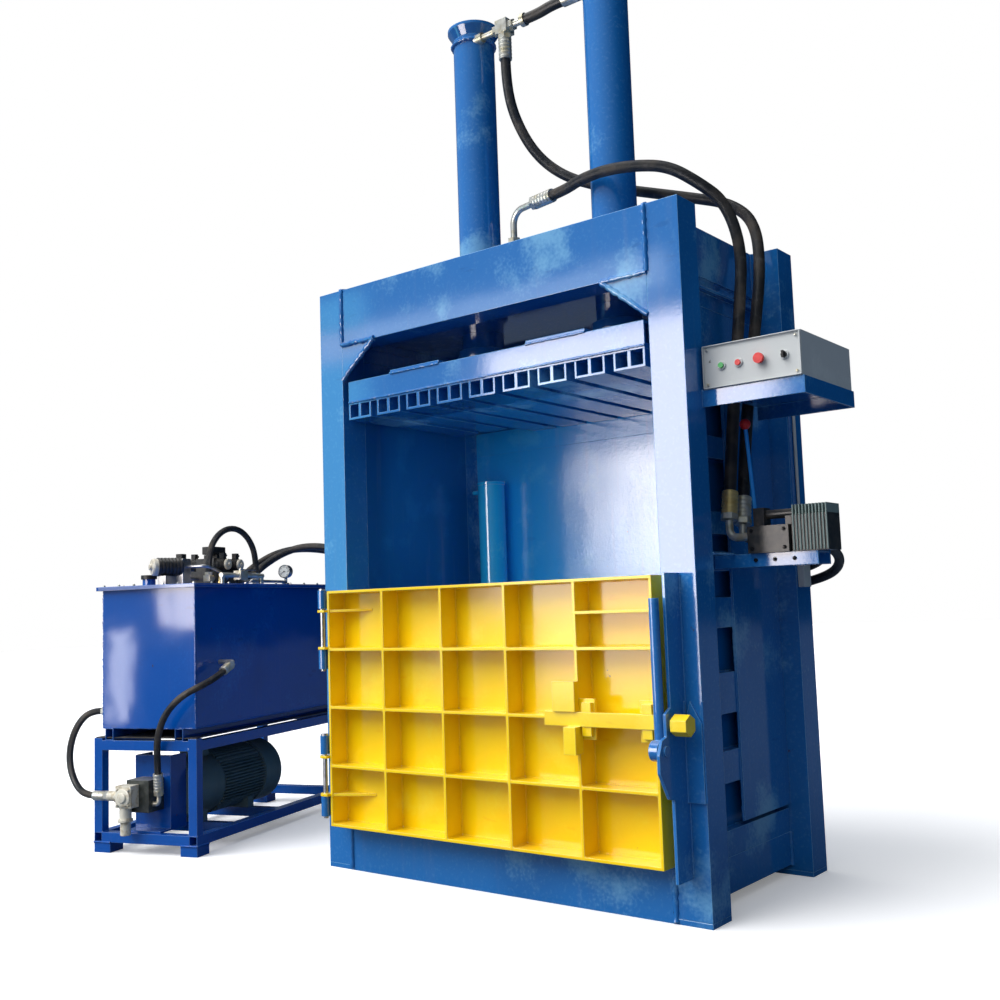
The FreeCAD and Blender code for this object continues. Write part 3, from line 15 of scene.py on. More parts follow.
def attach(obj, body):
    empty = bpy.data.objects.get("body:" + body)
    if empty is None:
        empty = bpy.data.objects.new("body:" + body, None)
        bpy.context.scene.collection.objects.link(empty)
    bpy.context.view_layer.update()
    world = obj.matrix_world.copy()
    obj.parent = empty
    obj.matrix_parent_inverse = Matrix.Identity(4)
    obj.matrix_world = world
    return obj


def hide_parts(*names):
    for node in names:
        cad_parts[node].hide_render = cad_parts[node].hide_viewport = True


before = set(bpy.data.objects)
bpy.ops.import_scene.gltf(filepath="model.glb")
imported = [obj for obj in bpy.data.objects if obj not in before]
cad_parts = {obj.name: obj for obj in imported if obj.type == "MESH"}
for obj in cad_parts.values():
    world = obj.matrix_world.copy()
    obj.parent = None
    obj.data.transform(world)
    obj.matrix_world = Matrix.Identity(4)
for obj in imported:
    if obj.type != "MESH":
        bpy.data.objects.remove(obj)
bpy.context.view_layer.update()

# %% [markdown]
# ## Camera
# A person stands at the right front corner, a little over four metres from the door, and looks
# slightly up. The camera's turn is built from yaw, pitch and roll, which are easier to read and to
# correct than three Euler angles.

# %% Camera
EYE = Vector((3.0076, -4.2408, 1.190))
YAW, PITCH, ROLL = 0.666, 0.0945, -0.0339


def turned_view(yaw, pitch, roll):
    """The camera's turn: yaw to the left of +Y, pitch above the horizon, then roll about the view."""
    level = Vector((-math.sin(yaw), math.cos(yaw), 0))
    side = Vector((math.cos(yaw), math.sin(yaw), 0))
    ahead = math.cos(pitch) * level + math.sin(pitch) * Vector((0, 0, 1))
    above = -math.sin(pitch) * level + math.cos(pitch) * Vector((0, 0, 1))
    right = math.cos(roll) * side + math.sin(roll) * above
    up = -math.sin(roll) * side + math.cos(roll) * above
    return Matrix((right, up, -ahead)).transposed().to_4x4()


camera = bpy.data.objects.new("camera", bpy.data.cameras.new("camera"))
camera.data.lens = 40.24
camera.data.sensor_width = 36
camera.data.clip_end = 200
camera.matrix_world = Matrix.Translation(EYE) @ turned_view(YAW, PITCH, ROLL)
bpy.context.collection.objects.link(camera)
bpy.context.scene.camera = camera
print("camera at", [round(v, 2) for v in EYE])

# %% [markdown]
# ## Hoses
# Each hydraulic hose is one NURBS line through its control points: a curve of order 3 stays smooth
# everywhere, as wire-braided rubber does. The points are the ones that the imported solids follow. The
# power unit stands turned beside the press, so its own points pass through `unit_point`.

# %% Hose lines
UNIT_TURN = math.radians(17.5)
UNIT_PLACE = Vector((-1.722, -0.743, 0))


def unit_point(a, b, z):
    """The press's coordinates of a point given in the power unit's own frame, in metres."""
    across = Vector((math.cos(UNIT_TURN), math.sin(UNIT_TURN), 0))
    along = Vector((-math.sin(UNIT_TURN), math.cos(UNIT_TURN), 0))
    return UNIT_PLACE + a * across + b * along + Vector((0, 0, z))


def placed(name, data):
    """A new object in the scene."""
    made = bpy.data.objects.new(name, data)
    bpy.context.collection.objects.link(made)
    return made


def round_line(name, points, depth, radius, fineness, roundness):
    """A closed round tube along a smooth line; its radius is depth times radius."""
    curve = bpy.data.curves.new(name, "CURVE")
    curve.dimensions = "3D"
    curve.resolution_u, curve.bevel_resolution = fineness, roundness
    curve.bevel_depth = depth
    curve.use_fill_caps = True
    line = curve.splines.new("NURBS")
    line.points.add(len(points) - 1)
    for spot, point in zip(line.points, points):
        spot.co = (*point, 1)
        spot.radius = radius
    line.order_u = 3
    line.use_endpoint_u = True
    return curve


hoses, hose_routes = [], {}
print("the power unit stands at", [round(v, 3) for v in UNIT_PLACE])

# %% Hoses of the press


def hose(name, points, diameter):
    """A hose along a smooth line with the given diameter; it hides the CAD node of that name and keeps the
    route for the sleeves.
    """
    made = placed(name + "_rubber", round_line(name + "_rubber", points, 1.0, diameter / 2, 10, 6))
    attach(made, "root")
    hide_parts(name)
    hoses.append(made)
    hose_routes[name] = points, diameter / 2


hose("rod_side_hose", [
    (0.077, -0.035, 3.110), (0.172, -0.056, 3.108), (0.300, -0.128, 3.100), (0.466, -0.176, 3.086),
    (0.635, -0.190, 3.056), (0.776, -0.172, 3.018), (0.870, -0.098, 2.946), (0.944, 0.006, 2.866),
    (0.964, 0.096, 2.680), (0.966, 0.044, 2.430), (0.966, -0.034, 2.116), (0.972, -0.112, 1.830),
    (0.978, -0.165, 1.610)], 0.050)
hose("cap_side_hose", [
    (-0.150, -0.060, 3.850), (-0.150, -0.060, 3.712), (-0.132, -0.022, 3.548), (-0.084, 0.062, 3.388),
    (0.028, 0.134, 3.266), (0.214, 0.180, 3.176), (0.440, 0.200, 3.096), (0.664, 0.236, 3.020),
    (0.832, 0.280, 2.964), (0.938, 0.300, 2.858), (0.965, 0.274, 2.640), (0.966, 0.180, 2.350),
    (0.970, 0.066, 2.030), (0.980, -0.024, 1.750), (0.992, -0.076, 1.590)], 0.050)
hose("supply_hose", [
    (1.120, 0.088, 1.412), (1.122, 0.198, 1.408), (1.118, 0.318, 1.396), (1.096, 0.442, 1.368),
    (1.046, 0.540, 1.340), (0.950, 0.590, 1.314), (0.800, 0.586, 1.298), (0.540, 0.580, 1.280),
    (0.190, 0.584, 1.268), (-0.180, 0.580, 1.266), (-0.540, 0.584, 1.278), (-0.800, 0.588, 1.298),
    (-0.980, 0.592, 1.316), (-1.220, 0.604, 1.350), (-1.480, 0.576, 1.414), (-1.724, 0.494, 1.500),
    (-1.922, 0.420, 1.570), (-2.104, 0.358, 1.594), unit_point(-0.150, 1.100, 1.560),
    unit_point(-0.228, 0.990, 1.482), unit_point(-0.256, 0.900, 1.408), unit_point(-0.256, 0.806, 1.408)],
     0.042)
hose("return_hose", [
    (1.200, 0.088, 1.412), (1.204, 0.202, 1.402), (1.200, 0.334, 1.376), (1.170, 0.466, 1.334),
    (1.096, 0.562, 1.286), (0.960, 0.598, 1.250), (0.800, 0.588, 1.232), (0.540, 0.582, 1.214),
    (0.190, 0.586, 1.202), (-0.180, 0.582, 1.200), (-0.540, 0.586, 1.212), (-0.800, 0.590, 1.232),
    (-0.985, 0.596, 1.252), (-1.230, 0.618, 1.296), (-1.490, 0.606, 1.370), (-1.740, 0.556, 1.468),
    (-1.960, 0.474, 1.550), (-2.172, 0.378, 1.586), unit_point(-0.222, 1.114, 1.556),
    unit_point(-0.304, 1.004, 1.480), unit_point(-0.332, 0.912, 1.408), unit_point(-0.332, 0.806, 1.408)],
     0.042)
print(len(hoses), "hoses at the press")

# %% Hoses of the power unit
hose("suction_hose", [unit_point(*p) for p in (
    (-0.590, -0.043, 0.294), (-0.648, -0.043, 0.294), (-0.716, -0.036, 0.336), (-0.772, -0.023, 0.430),
    (-0.786, -0.006, 0.540), (-0.754, 0.014, 0.648), (-0.686, 0.034, 0.714), (-0.606, 0.034, 0.714))],
     0.034)
hose("pump_hose", [unit_point(*p) for p in (
    (-0.237, 0.004, 0.400), (-0.228, -0.014, 0.490), (-0.208, -0.038, 0.590), (-0.150, -0.058, 0.702),
    (-0.050, -0.066, 0.792), (0.030, -0.020, 0.838), (0.075, 0.059, 0.876), (0.074, 0.130, 0.908))],
     0.034)
hose("arch_hose", [unit_point(*p) for p in (
    (-0.224, 0.430, 1.430), (-0.224, 0.430, 1.526), (-0.220, 0.488, 1.622), (-0.212, 0.584, 1.678),
    (-0.204, 0.696, 1.680), (-0.198, 0.794, 1.624), (-0.194, 0.850, 1.527), (-0.194, 0.850, 1.430))],
     0.034)
print(len(hoses), "hoses in all")

# %% [markdown]
# ## Small helpers for node trees
# Materials and Geometry Nodes trees are built the same way: make a node, set what it needs, and wire
# its sockets. A few short helpers for that, for arithmetic, for mixing colours, for noise and for
# masks keep the later cells readable.

# %% Node helpers


def node(tree, kind, values=None, **settings):
    """A node with its settings, and with plain values on the inputs named."""
    made = tree.nodes.new(kind)
    for name, setting in settings.items():
        setattr(made, name, setting)
    for name, number in (values or {}).items():
        made.inputs[name].default_value = number
    return made


def sockets(tree, inputs, outputs):
    """Gives a group its named sockets: (name, kind, starting value) going in, (name, kind) going out."""
    for name, kind, start in inputs:
        made = tree.interface.new_socket(name, in_out="INPUT", socket_type="NodeSocket" + kind)
        if start is not None:
            made.default_value = start
    for name, kind in outputs:
        tree.interface.new_socket(name, in_out="OUTPUT", socket_type="NodeSocket" + kind)
    return tree.nodes.new("NodeGroupInput"), tree.nodes.new("NodeGroupOutput")


def maths(tree, how, first, second=None, third=None):
    """One step of arithmetic on sockets or plain numbers."""
    made = node(tree, "ShaderNodeMath", operation=how)
    for place, given in enumerate((first, second, third)):
        if isinstance(given, (int, float)):
            made.inputs[place].default_value = given
        elif given is not None:
            tree.links.new(given, made.inputs[place])
    return made.outputs[0]


def blend_colours(tree, amount, first, second, how="MIX"):
    """Mixes two colours, each a socket or a plain colour, by a mask."""
    made = node(tree, "ShaderNodeMix", data_type="RGBA", blend_type=how)
    for socket, given in ((made.inputs[0], amount), (made.inputs[6], first), (made.inputs[7], second)):
        if isinstance(given, bpy.types.NodeSocket):
            tree.links.new(given, socket)
        else:
            socket.default_value = given if isinstance(given, (int, float)) else (*given, 1)
    return made.outputs[2]


def wire(tree, *pairs):
    """Joins each outgoing socket to the incoming one beside it."""
    for start, end in pairs:
        tree.links.new(start, end)


def noise(tree, where, scale, detail=3.0, stretch=None):
    """Noise at a number of lumps to the metre, stretched along an axis if asked."""
    if stretch:
        mapped = node(tree, "ShaderNodeMapping")
        mapped.inputs["Scale"].default_value = stretch
        tree.links.new(where, mapped.inputs["Vector"])
        where = mapped.outputs[0]
    made = node(tree, "ShaderNodeTexNoise", {"Detail": detail})
    tree.links.new(where, made.inputs["Vector"])
    if isinstance(scale, bpy.types.NodeSocket):
        tree.links.new(scale, made.inputs["Scale"])
    else:
        made.inputs["Scale"].default_value = scale
    return made.outputs["Fac"]


def steps(tree, value, low, high):
    """Turns a value between low and high into a mask from 0 to 1."""
    made = node(tree, "ShaderNodeMapRange", {"From Min": low, "From Max": high},
                interpolation_type="SMOOTHSTEP")
    tree.links.new(value, made.inputs["Value"])
    return made.outputs["Result"]


def relief(tree, shader, height, corners=None):
    """Raises the surface by a height, on top of the rounded corners if they are given."""
    bump = node(tree, "ShaderNodeBump", {"Distance": 1.0, "Strength": 1.0})
    wire(tree, (height, bump.inputs["Height"]), (bump.outputs["Normal"], shader.inputs["Normal"]))
    if corners:
        tree.links.new(corners.outputs["Normal"], bump.inputs["Normal"])


print("node helpers are ready")

# %% [markdown]
# ## Shared effects
# Every painted plate on the real machine shows the same few things, so each is one node group that
# the materials share with values of their own:
# - *rounded edges*: a sawn or folded plate has no knife edge, and paint is thin there; the lighter edge
#   colour is partly wear, partly painted highlight;
# - *enamel*: sprayed paint varies in depth, has orange peel, and the plate under it isn't flat; its lighter
#   clouds are partly mottled paint, partly painted sheen;
# - *workshop dust*: dust lies on what faces up, and grime runs down from it.

# %% Rounded edges group
rounded_edges = bpy.data.node_groups.new("rounded_edges", "ShaderNodeTree")
given, result = sockets(rounded_edges, [("Width", "Float", 0.004)], [("Mask", "Float"), ("Normal", "Vector")])
soft = node(rounded_edges, "ShaderNodeBevel", samples=6)
flat = node(rounded_edges, "ShaderNodeNewGeometry")
facing = node(rounded_edges, "ShaderNodeVectorMath", operation="DOT_PRODUCT")
turn_away = maths(rounded_edges, "SUBTRACT", 1.0, facing.outputs["Value"])
wire(rounded_edges, (given.outputs["Width"], soft.inputs["Radius"]),
     (soft.outputs["Normal"], facing.inputs[0]), (flat.outputs["Normal"], facing.inputs[1]),
     (steps(rounded_edges, turn_away, 0.01, 0.16), result.inputs["Mask"]),
     (soft.outputs["Normal"], result.inputs["Normal"]))
print("rounded_edges has", len(rounded_edges.nodes), "nodes")

# %% Enamel group
DRIFT_LUMPS, SPECK_LUMPS, CHIP_LUMPS, SCUFF_LUMPS = 1.1, 70.0, 14.0, 7.0
WAVE_LUMPS, DIMPLE_LUMPS, GRAIN_LUMPS = 2.2, 90.0, 380.0
BARE_METAL = (0.055, 0.045, 0.040)
enamel = bpy.data.node_groups.new("enamel", "ShaderNodeTree")
given, result = sockets(enamel, [("Colour", "Color", None), ("Light", "Color", None), ("Deep", "Color", None),
                                 ("Patches", "Float", 3.0), ("Wave", "Float", 0.0008),
                                 ("Peel", "Float", 0.00004), ("Gloss", "Float", 0.08)],
                        [("Colour", "Color"), ("Roughness", "Float"), ("Height", "Float")])
light, deep = given.outputs["Light"], given.outputs["Deep"]
place = node(enamel, "ShaderNodeTexCoord").outputs["Object"]
clouds = noise(enamel, place, given.outputs["Patches"], 4.0)
drifts = noise(enamel, place, DRIFT_LUMPS, 3.0)
specks = noise(enamel, place, SPECK_LUMPS, 4.0)
# The lighter clouds mixed in here are partly mottled paint and partly a painted sheen that stands in for
# glare.
ragged_clouds = maths(enamel, "MULTIPLY_ADD", maths(enamel, "SUBTRACT", specks, 0.5), 0.15, clouds)
mottled_and_sheen = blend_colours(enamel, steps(enamel, ragged_clouds, 0.54, 0.70), given.outputs["Colour"], light)
deepened = blend_colours(enamel, steps(enamel, drifts, 0.55, 0.80), mottled_and_sheen, deep)
spots = maths(enamel, "MULTIPLY", steps(enamel, specks, 0.52, 0.70), 0.12)
speckled = blend_colours(enamel, spots, deepened, light)
scuffs = steps(enamel, noise(enamel, place, SCUFF_LUMPS, 6.0, stretch=(1, 1, 4)), 0.66, 0.74)
rubbed = blend_colours(enamel, maths(enamel, "MULTIPLY", scuffs, 0.35), speckled, deep)
chips = steps(enamel, noise(enamel, place, CHIP_LUMPS, 9.0), 0.750, 0.765)
chipped = blend_colours(enamel, maths(enamel, "MULTIPLY", chips, 0.75), rubbed, BARE_METAL)
print("enamel colours are mixed from", len(enamel.nodes), "nodes")

# %% Enamel gloss and height
wave = maths(enamel, "MULTIPLY", noise(enamel, place, WAVE_LUMPS, 2.0), given.outputs["Wave"])
dimples = maths(enamel, "MULTIPLY", noise(enamel, place, DIMPLE_LUMPS, 2.0), given.outputs["Peel"])
fine_peel = maths(enamel, "MULTIPLY", given.outputs["Peel"], 0.3)
grain = maths(enamel, "MULTIPLY", noise(enamel, place, GRAIN_LUMPS, 1.0), fine_peel)
blur = maths(enamel, "MULTIPLY_ADD", clouds, 0.06, given.outputs["Gloss"])
wire(enamel, (chipped, result.inputs["Colour"]), (blur, result.inputs["Roughness"]),
     (maths(enamel, "ADD", wave, maths(enamel, "ADD", dimples, grain)), result.inputs["Height"]))
print("enamel has", len(enamel.nodes), "nodes")

# %% Workshop dust group
GREY_DUST = (0.42, 0.40, 0.37, 1)
dust = bpy.data.node_groups.new("workshop_dust", "ShaderNodeTree")
given, result = sockets(dust, [("Colour", "Color", None), ("Dust", "Color", GREY_DUST),
                               ("Amount", "Float", 0.5), ("Roughness", "Float", 0.3)],
                        [("Colour", "Color"), ("Roughness", "Float")])
place = node(dust, "ShaderNodeTexCoord").outputs["Object"]
upward = node(dust, "ShaderNodeSeparateXYZ")
dust.links.new(node(dust, "ShaderNodeNewGeometry").outputs["Normal"], upward.inputs[0])
lying = steps(dust, upward.outputs["Z"], 0.35, 0.95)
patchy = steps(dust, noise(dust, place, 9.0, 5.0), 0.30, 0.75)
runs = steps(dust, noise(dust, place, 26.0, 3.0, stretch=(1, 1, 0.05)), 0.55, 0.85)
settled = maths(dust, "MULTIPLY", maths(dust, "MULTIPLY", lying, patchy), given.outputs["Amount"])
streaked = maths(dust, "MULTIPLY", maths(dust, "MULTIPLY", runs, given.outputs["Amount"]), 0.16)
covered = maths(dust, "MAXIMUM", settled, streaked)
wire(dust, (blend_colours(dust, covered, given.outputs["Colour"], given.outputs["Dust"]),
            result.inputs["Colour"]),
     (maths(dust, "MULTIPLY_ADD", covered, 0.45, given.outputs["Roughness"]), result.inputs["Roughness"]))
print("workshop_dust has", len(dust.nodes), "nodes")

# %% [markdown]
# ## Materials
# `painted` wires the shared groups into one finish: enamel colour, dust over it, lighter edges that are
# partly wear and partly a painted highlight, and a bump from the enamel's height on the rounded normal. How
# strongly the enamel mirrors is set by the shader's own index of refraction, a plain number for each finish.

# %% Material helpers


def use_group(tree, group, values=None):
    """Places a shared group in a material, with its own values."""
    made = tree.nodes.new("ShaderNodeGroup")
    made.node_tree = group
    for name, number in (values or {}).items():
        made.inputs[name].default_value = (*number, 1) if isinstance(number, tuple) else number
    return made


def fresh(name):
    """A new material with its shader's node and the output wired."""
    made = bpy.data.materials.new(name)
    made.use_nodes = True
    return made, made.node_tree, made.node_tree.nodes["Principled BSDF"]


def dust_over(tree, shader, colour, roughness, amount):
    """Lays workshop dust on a colour and gives both to the shader; roughness is a socket or a number."""
    dusted = use_group(tree, dust, {"Amount": amount})
    if isinstance(roughness, bpy.types.NodeSocket):
        tree.links.new(roughness, dusted.inputs["Roughness"])
    else:
        dusted.inputs["Roughness"].default_value = roughness
    wire(tree, (colour, dusted.inputs["Colour"]), (dusted.outputs["Colour"], shader.inputs["Base Color"]),
         (dusted.outputs["Roughness"], shader.inputs["Roughness"]))


def constants(shader, values):
    """Plain numbers on the shader's own inputs."""
    for name, number in values.items():
        shader.inputs[name].default_value = number


print("material helpers are ready")

# %% Painted finishes


def painted(name, colour, light, deep, edge, shine=1.0, rough=0.06, ior=1.7, patches=3.0, wave=0.0008,
            peel=0.00004, amount=0.5, width=0.004):
    """A sprayed finish on steel; edge is the lighter edge colour, partly wear and partly painted highlight;
    shine is how much it reflects, rough how blurred.
    """
    made, tree, shader = fresh(name)
    coats = use_group(tree, enamel, {"Colour": colour, "Light": light, "Deep": deep, "Patches": patches,
                                     "Wave": wave, "Peel": peel, "Gloss": rough})
    corners = use_group(tree, rounded_edges, {"Width": width})
    # The edge mask lightens the edges: partly paint wear, partly a painted highlight along them.
    edge_wear_and_highlight = maths(tree, "MULTIPLY", corners.outputs["Mask"], 0.75)
    worn_and_highlit = blend_colours(tree, edge_wear_and_highlight, coats.outputs["Colour"], edge)
    dust_over(tree, shader, worn_and_highlit, coats.outputs["Roughness"], amount)
    relief(tree, shader, coats.outputs["Height"], corners)
    constants(shader, {"IOR": ior, "Specular IOR Level": 0.5 * shine})
    return made


press_blue = painted("press_blue_enamel", (0.012, 0.155, 0.48), (0.14, 0.38, 0.66), (0.004, 0.090, 0.32),
                     (0.24, 0.55, 0.85), ior=1.9, patches=2.6, amount=0.3, peel=0.00009, wave=0.0014)
# The chamber's side walls get a darker, duller copy of the press blue: painted shade for the dark inside of
# the chamber.
shaded_chamber_blue = painted("chamber_blue_enamel", (0.004, 0.125, 0.40), (0.008, 0.15, 0.45), (0.002, 0.08, 0.29),
                       (0.16, 0.40, 0.66), shine=0.5, rough=0.20, patches=5.0, wave=0.0016)
# The rear wall gets a much brighter, blotchy copy of the press blue: painted light for the glare on the wall
# inside the dark chamber.
lit_rear_blue = painted("rear_wall_enamel", (0.014, 0.38, 0.95), (0.04, 0.45, 0.98), (0.008, 0.28, 0.78),
                    (0.16, 0.40, 0.66), rough=0.11, ior=2.2, patches=6.0, wave=0.0040, peel=0.00050)
# The upright cylinder gets a brighter, more cyan copy of the press blue: painted light, since little light
# reaches it in the chamber.
lit_upright_blue = painted("upright_cylinder_enamel", (0.020, 0.50, 1.0), (0.08, 0.62, 1.0), (0.010, 0.32, 0.85),
                    (0.30, 0.60, 0.90), ior=1.9, patches=5.0)
unit_blue = painted("unit_blue_enamel", (0.002, 0.090, 0.44), (0.01, 0.16, 0.60), (0.001, 0.045, 0.23),
                    (0.20, 0.36, 0.68), ior=1.75, patches=1.7, wave=0.0045, amount=0.15)
door_yellow = painted("door_yellow_enamel", (0.97, 0.67, 0.002), (0.99, 0.74, 0.02), (0.90, 0.50, 0.001),
                      (0.98, 0.78, 0.24), ior=1.55, rough=0.12, patches=4.0, amount=0.12)
motor_paint = painted("motor_paint", (0.20, 0.27, 0.26), (0.28, 0.35, 0.33), (0.12, 0.16, 0.16),
                      (0.16, 0.19, 0.18), shine=0.5, rough=0.3, ior=1.5, amount=0.7, wave=0.0)
cabinet_grey = painted("cabinet_powder_coat", (0.56, 0.58, 0.58), (0.63, 0.65, 0.64), (0.46, 0.48, 0.49),
                       (0.78, 0.79, 0.78), shine=0.25, rough=0.35, ior=1.5, peel=0.00008, amount=0.4,
                       wave=0.0004)
lever_blue = painted("lever_blue_enamel", (0.02, 0.28, 0.85), (0.08, 0.40, 0.92), (0.01, 0.16, 0.60),
                     (0.30, 0.48, 0.72), ior=1.6, width=0.002)
print(len(bpy.data.materials), "materials so far")

# %% [markdown]
# ## Bare metal, iron, plastic and rubber
# Zinc plating on fittings is yellowish and blotchy, hard chrome is almost a mirror with fine lines
# round the rod, cast iron is grainy, and a wrapped hose shows the weave of the cloth it was cured in.
# Noise in the roughness as well as in the colour keeps metal from looking like plastic.

# %% Bare and plated metal
OILY_GRIME = (0.05, 0.043, 0.035)


def metal(name, colour, tint, rough, grain=60.0, depth=0.00003, stretch=None, dirt=0.35, width=0.002,
          metallic=1.0):
    """Plated or turned steel whose tint and roughness wander, with grime in it."""
    made, tree, shader = fresh(name)
    place = node(tree, "ShaderNodeTexCoord").outputs["Object"]
    blotches = noise(tree, place, 22.0, 4.0)
    lines = noise(tree, place, grain, 3.0, stretch)
    corners = use_group(tree, rounded_edges, {"Width": width})
    stained = blend_colours(tree, steps(tree, blotches, 0.42, 0.68), colour, tint)
    smears = maths(tree, "MULTIPLY", steps(tree, noise(tree, place, 14.0, 5.0), 0.52, 0.72), dirt)
    wire(tree, (blend_colours(tree, smears, stained, OILY_GRIME), shader.inputs["Base Color"]),
         (maths(tree, "MULTIPLY_ADD", lines, 0.22, rough), shader.inputs["Roughness"]))
    relief(tree, shader, maths(tree, "MULTIPLY", lines, depth), corners)
    shader.inputs["Metallic"].default_value = metallic
    return made


zinc = metal("zinc_plated_steel", (0.80, 0.78, 0.70), (0.70, 0.62, 0.42), 0.22, metallic=0.72)
steel = metal("bright_steel", (0.56, 0.56, 0.57), (0.42, 0.41, 0.40), 0.24)
chrome = metal("hard_chrome", (0.78, 0.79, 0.80), (0.72, 0.73, 0.75), 0.04, 240.0, 0.000004, (1, 1, 8), 0.08)
black_oxide = metal("blackened_steel", (0.055, 0.055, 0.06), (0.10, 0.09, 0.085), 0.30, dirt=0.2)
print("metals:", [m.name for m in (zinc, steel, chrome, black_oxide)])

# %% Cast iron, plastic and rubber


def matt(name, colour, tint, rough, scale=35.0, depth=0.0001, coat=0.0, width=0.002, dusty=0.4):
    """A dielectric finish: cast iron under thin paint, moulded plastic or rubber."""
    made, tree, shader = fresh(name)
    place = node(tree, "ShaderNodeTexCoord").outputs["Object"]
    grain = noise(tree, place, scale * 8, 3.0)
    corners = use_group(tree, rounded_edges, {"Width": width})
    mixed = blend_colours(tree, steps(tree, noise(tree, place, scale, 4.0), 0.35, 0.70), colour, tint)
    rubbed = blend_colours(tree, maths(tree, "MULTIPLY", corners.outputs["Mask"], 0.4), mixed, tint)
    dust_over(tree, shader, rubbed, rough, dusty)
    relief(tree, shader, maths(tree, "MULTIPLY", grain, depth), corners)
    constants(shader, {"Coat Weight": coat, "Coat Roughness": 0.15, "Specular IOR Level": 0.3})
    return made


cast_dark = matt("dark_oiled_iron", (0.022, 0.023, 0.024), (0.060, 0.052, 0.045), 0.38, coat=0.5)
cast_cream = matt("cream_cast_housing", (0.60, 0.54, 0.42), (0.74, 0.70, 0.60), 0.42, coat=0.3)
black_plastic = matt("black_moulding", (0.016, 0.016, 0.017), (0.035, 0.034, 0.033), 0.42)
red_plastic = matt("red_moulding", (0.62, 0.010, 0.012), (0.72, 0.03, 0.03), 0.35, coat=0.15, dusty=0.1)
green_plastic = matt("green_moulding", (0.01, 0.34, 0.06), (0.03, 0.44, 0.10), 0.35, coat=0.15, dusty=0.1)
dial_white = matt("dial_white", (0.72, 0.74, 0.68), (0.80, 0.80, 0.74), 0.35, coat=0.9, dusty=0.1)
print("castings, plastics and rubber are ready")

# %% Hose rubber


def hose_rubber():
    """Black rubber with the criss-cross of the curing cloth, a brown bloom and rubbed high spots."""
    made, tree, shader = fresh("hose_rubber")
    strip = node(tree, "ShaderNodeTexCoord")
    wrap = node(tree, "ShaderNodeMapping", {"Scale": (260.0, 6.0, 1.0), "Rotation": (0.0, 0.0, 0.45)})
    weave = node(tree, "ShaderNodeTexWave", {"Scale": 1.6, "Distortion": 1.2}, bands_direction="X")
    wire(tree, (strip.outputs["UV"], wrap.inputs["Vector"]), (wrap.outputs[0], weave.inputs["Vector"]))
    bloom = steps(tree, noise(tree, strip.outputs["Object"], 9.0, 4.0), 0.42, 0.72)
    rubbed = steps(tree, noise(tree, strip.outputs["Object"], 34.0, 3.0), 0.55, 0.80)
    aged = blend_colours(tree, bloom, (0.016, 0.016, 0.018), (0.070, 0.056, 0.044))
    greyed = blend_colours(tree, maths(tree, "MULTIPLY", rubbed, 0.5), aged, (0.12, 0.115, 0.11))
    wire(tree, (greyed, shader.inputs["Base Color"]),
         (maths(tree, "MULTIPLY_ADD", bloom, 0.25, 0.34), shader.inputs["Roughness"]))
    relief(tree, shader, maths(tree, "MULTIPLY", weave.outputs["Fac"], 0.0003))
    return made


rubber = hose_rubber()
for made in hoses:
    made.data.materials.append(rubber)
print(len(hoses), "hoses are rubber")

# %% [markdown]
# ## Pump casting
# The gear pump is one casting with two finishes: the dark body and the pale suction head in front.
# The material tells them apart by how far each point lies towards the feeding side of the skid, so
# the mesh needs no cut and the solid stays as it was packed.

# %% Two-tone pump
HEAD_DEPTH = 0.0125


def two_tone_pump():
    """Cream in front of the pump's face and dark iron behind it, both grainy."""
    made, tree, shader = fresh("pump_castings")
    place = node(tree, "ShaderNodeTexCoord").outputs["Object"]
    along = node(tree, "ShaderNodeVectorMath", operation="DOT_PRODUCT")
    along.inputs[1].default_value = (-math.sin(UNIT_TURN), math.cos(UNIT_TURN), 0)
    tree.links.new(place, along.inputs[0])
    face = UNIT_PLACE.y * math.cos(UNIT_TURN) - UNIT_PLACE.x * math.sin(UNIT_TURN) - HEAD_DEPTH
    behind = maths(tree, "GREATER_THAN", along.outputs["Value"], face)
    corners = use_group(tree, rounded_edges, {"Width": 0.006})
    spots = steps(tree, noise(tree, place, 30.0, 5.0), 0.45, 0.70)
    cream = blend_colours(tree, spots, (0.78, 0.74, 0.62), (0.50, 0.41, 0.27))
    dark = blend_colours(tree, spots, (0.020, 0.026, 0.022), (0.065, 0.070, 0.060))
    dust_over(tree, shader, blend_colours(tree, behind, cream, dark), 0.36, 0.5)
    relief(tree, shader, maths(tree, "MULTIPLY", noise(tree, place, 300.0, 2.0), 0.00012), corners)
    constants(shader, {"Coat Weight": 0.4, "Coat Roughness": 0.2})
    return made


pump_castings = two_tone_pump()
print("pump_castings is ready")

# %% [markdown]
# ## Finishes on the CAD nodes
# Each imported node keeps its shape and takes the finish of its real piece: blue frame, yellow door,
# chromed rods, plated fittings. A table of finishes with the names they belong to reads like a parts
# list, and a loop over it reaches every slot of every node.

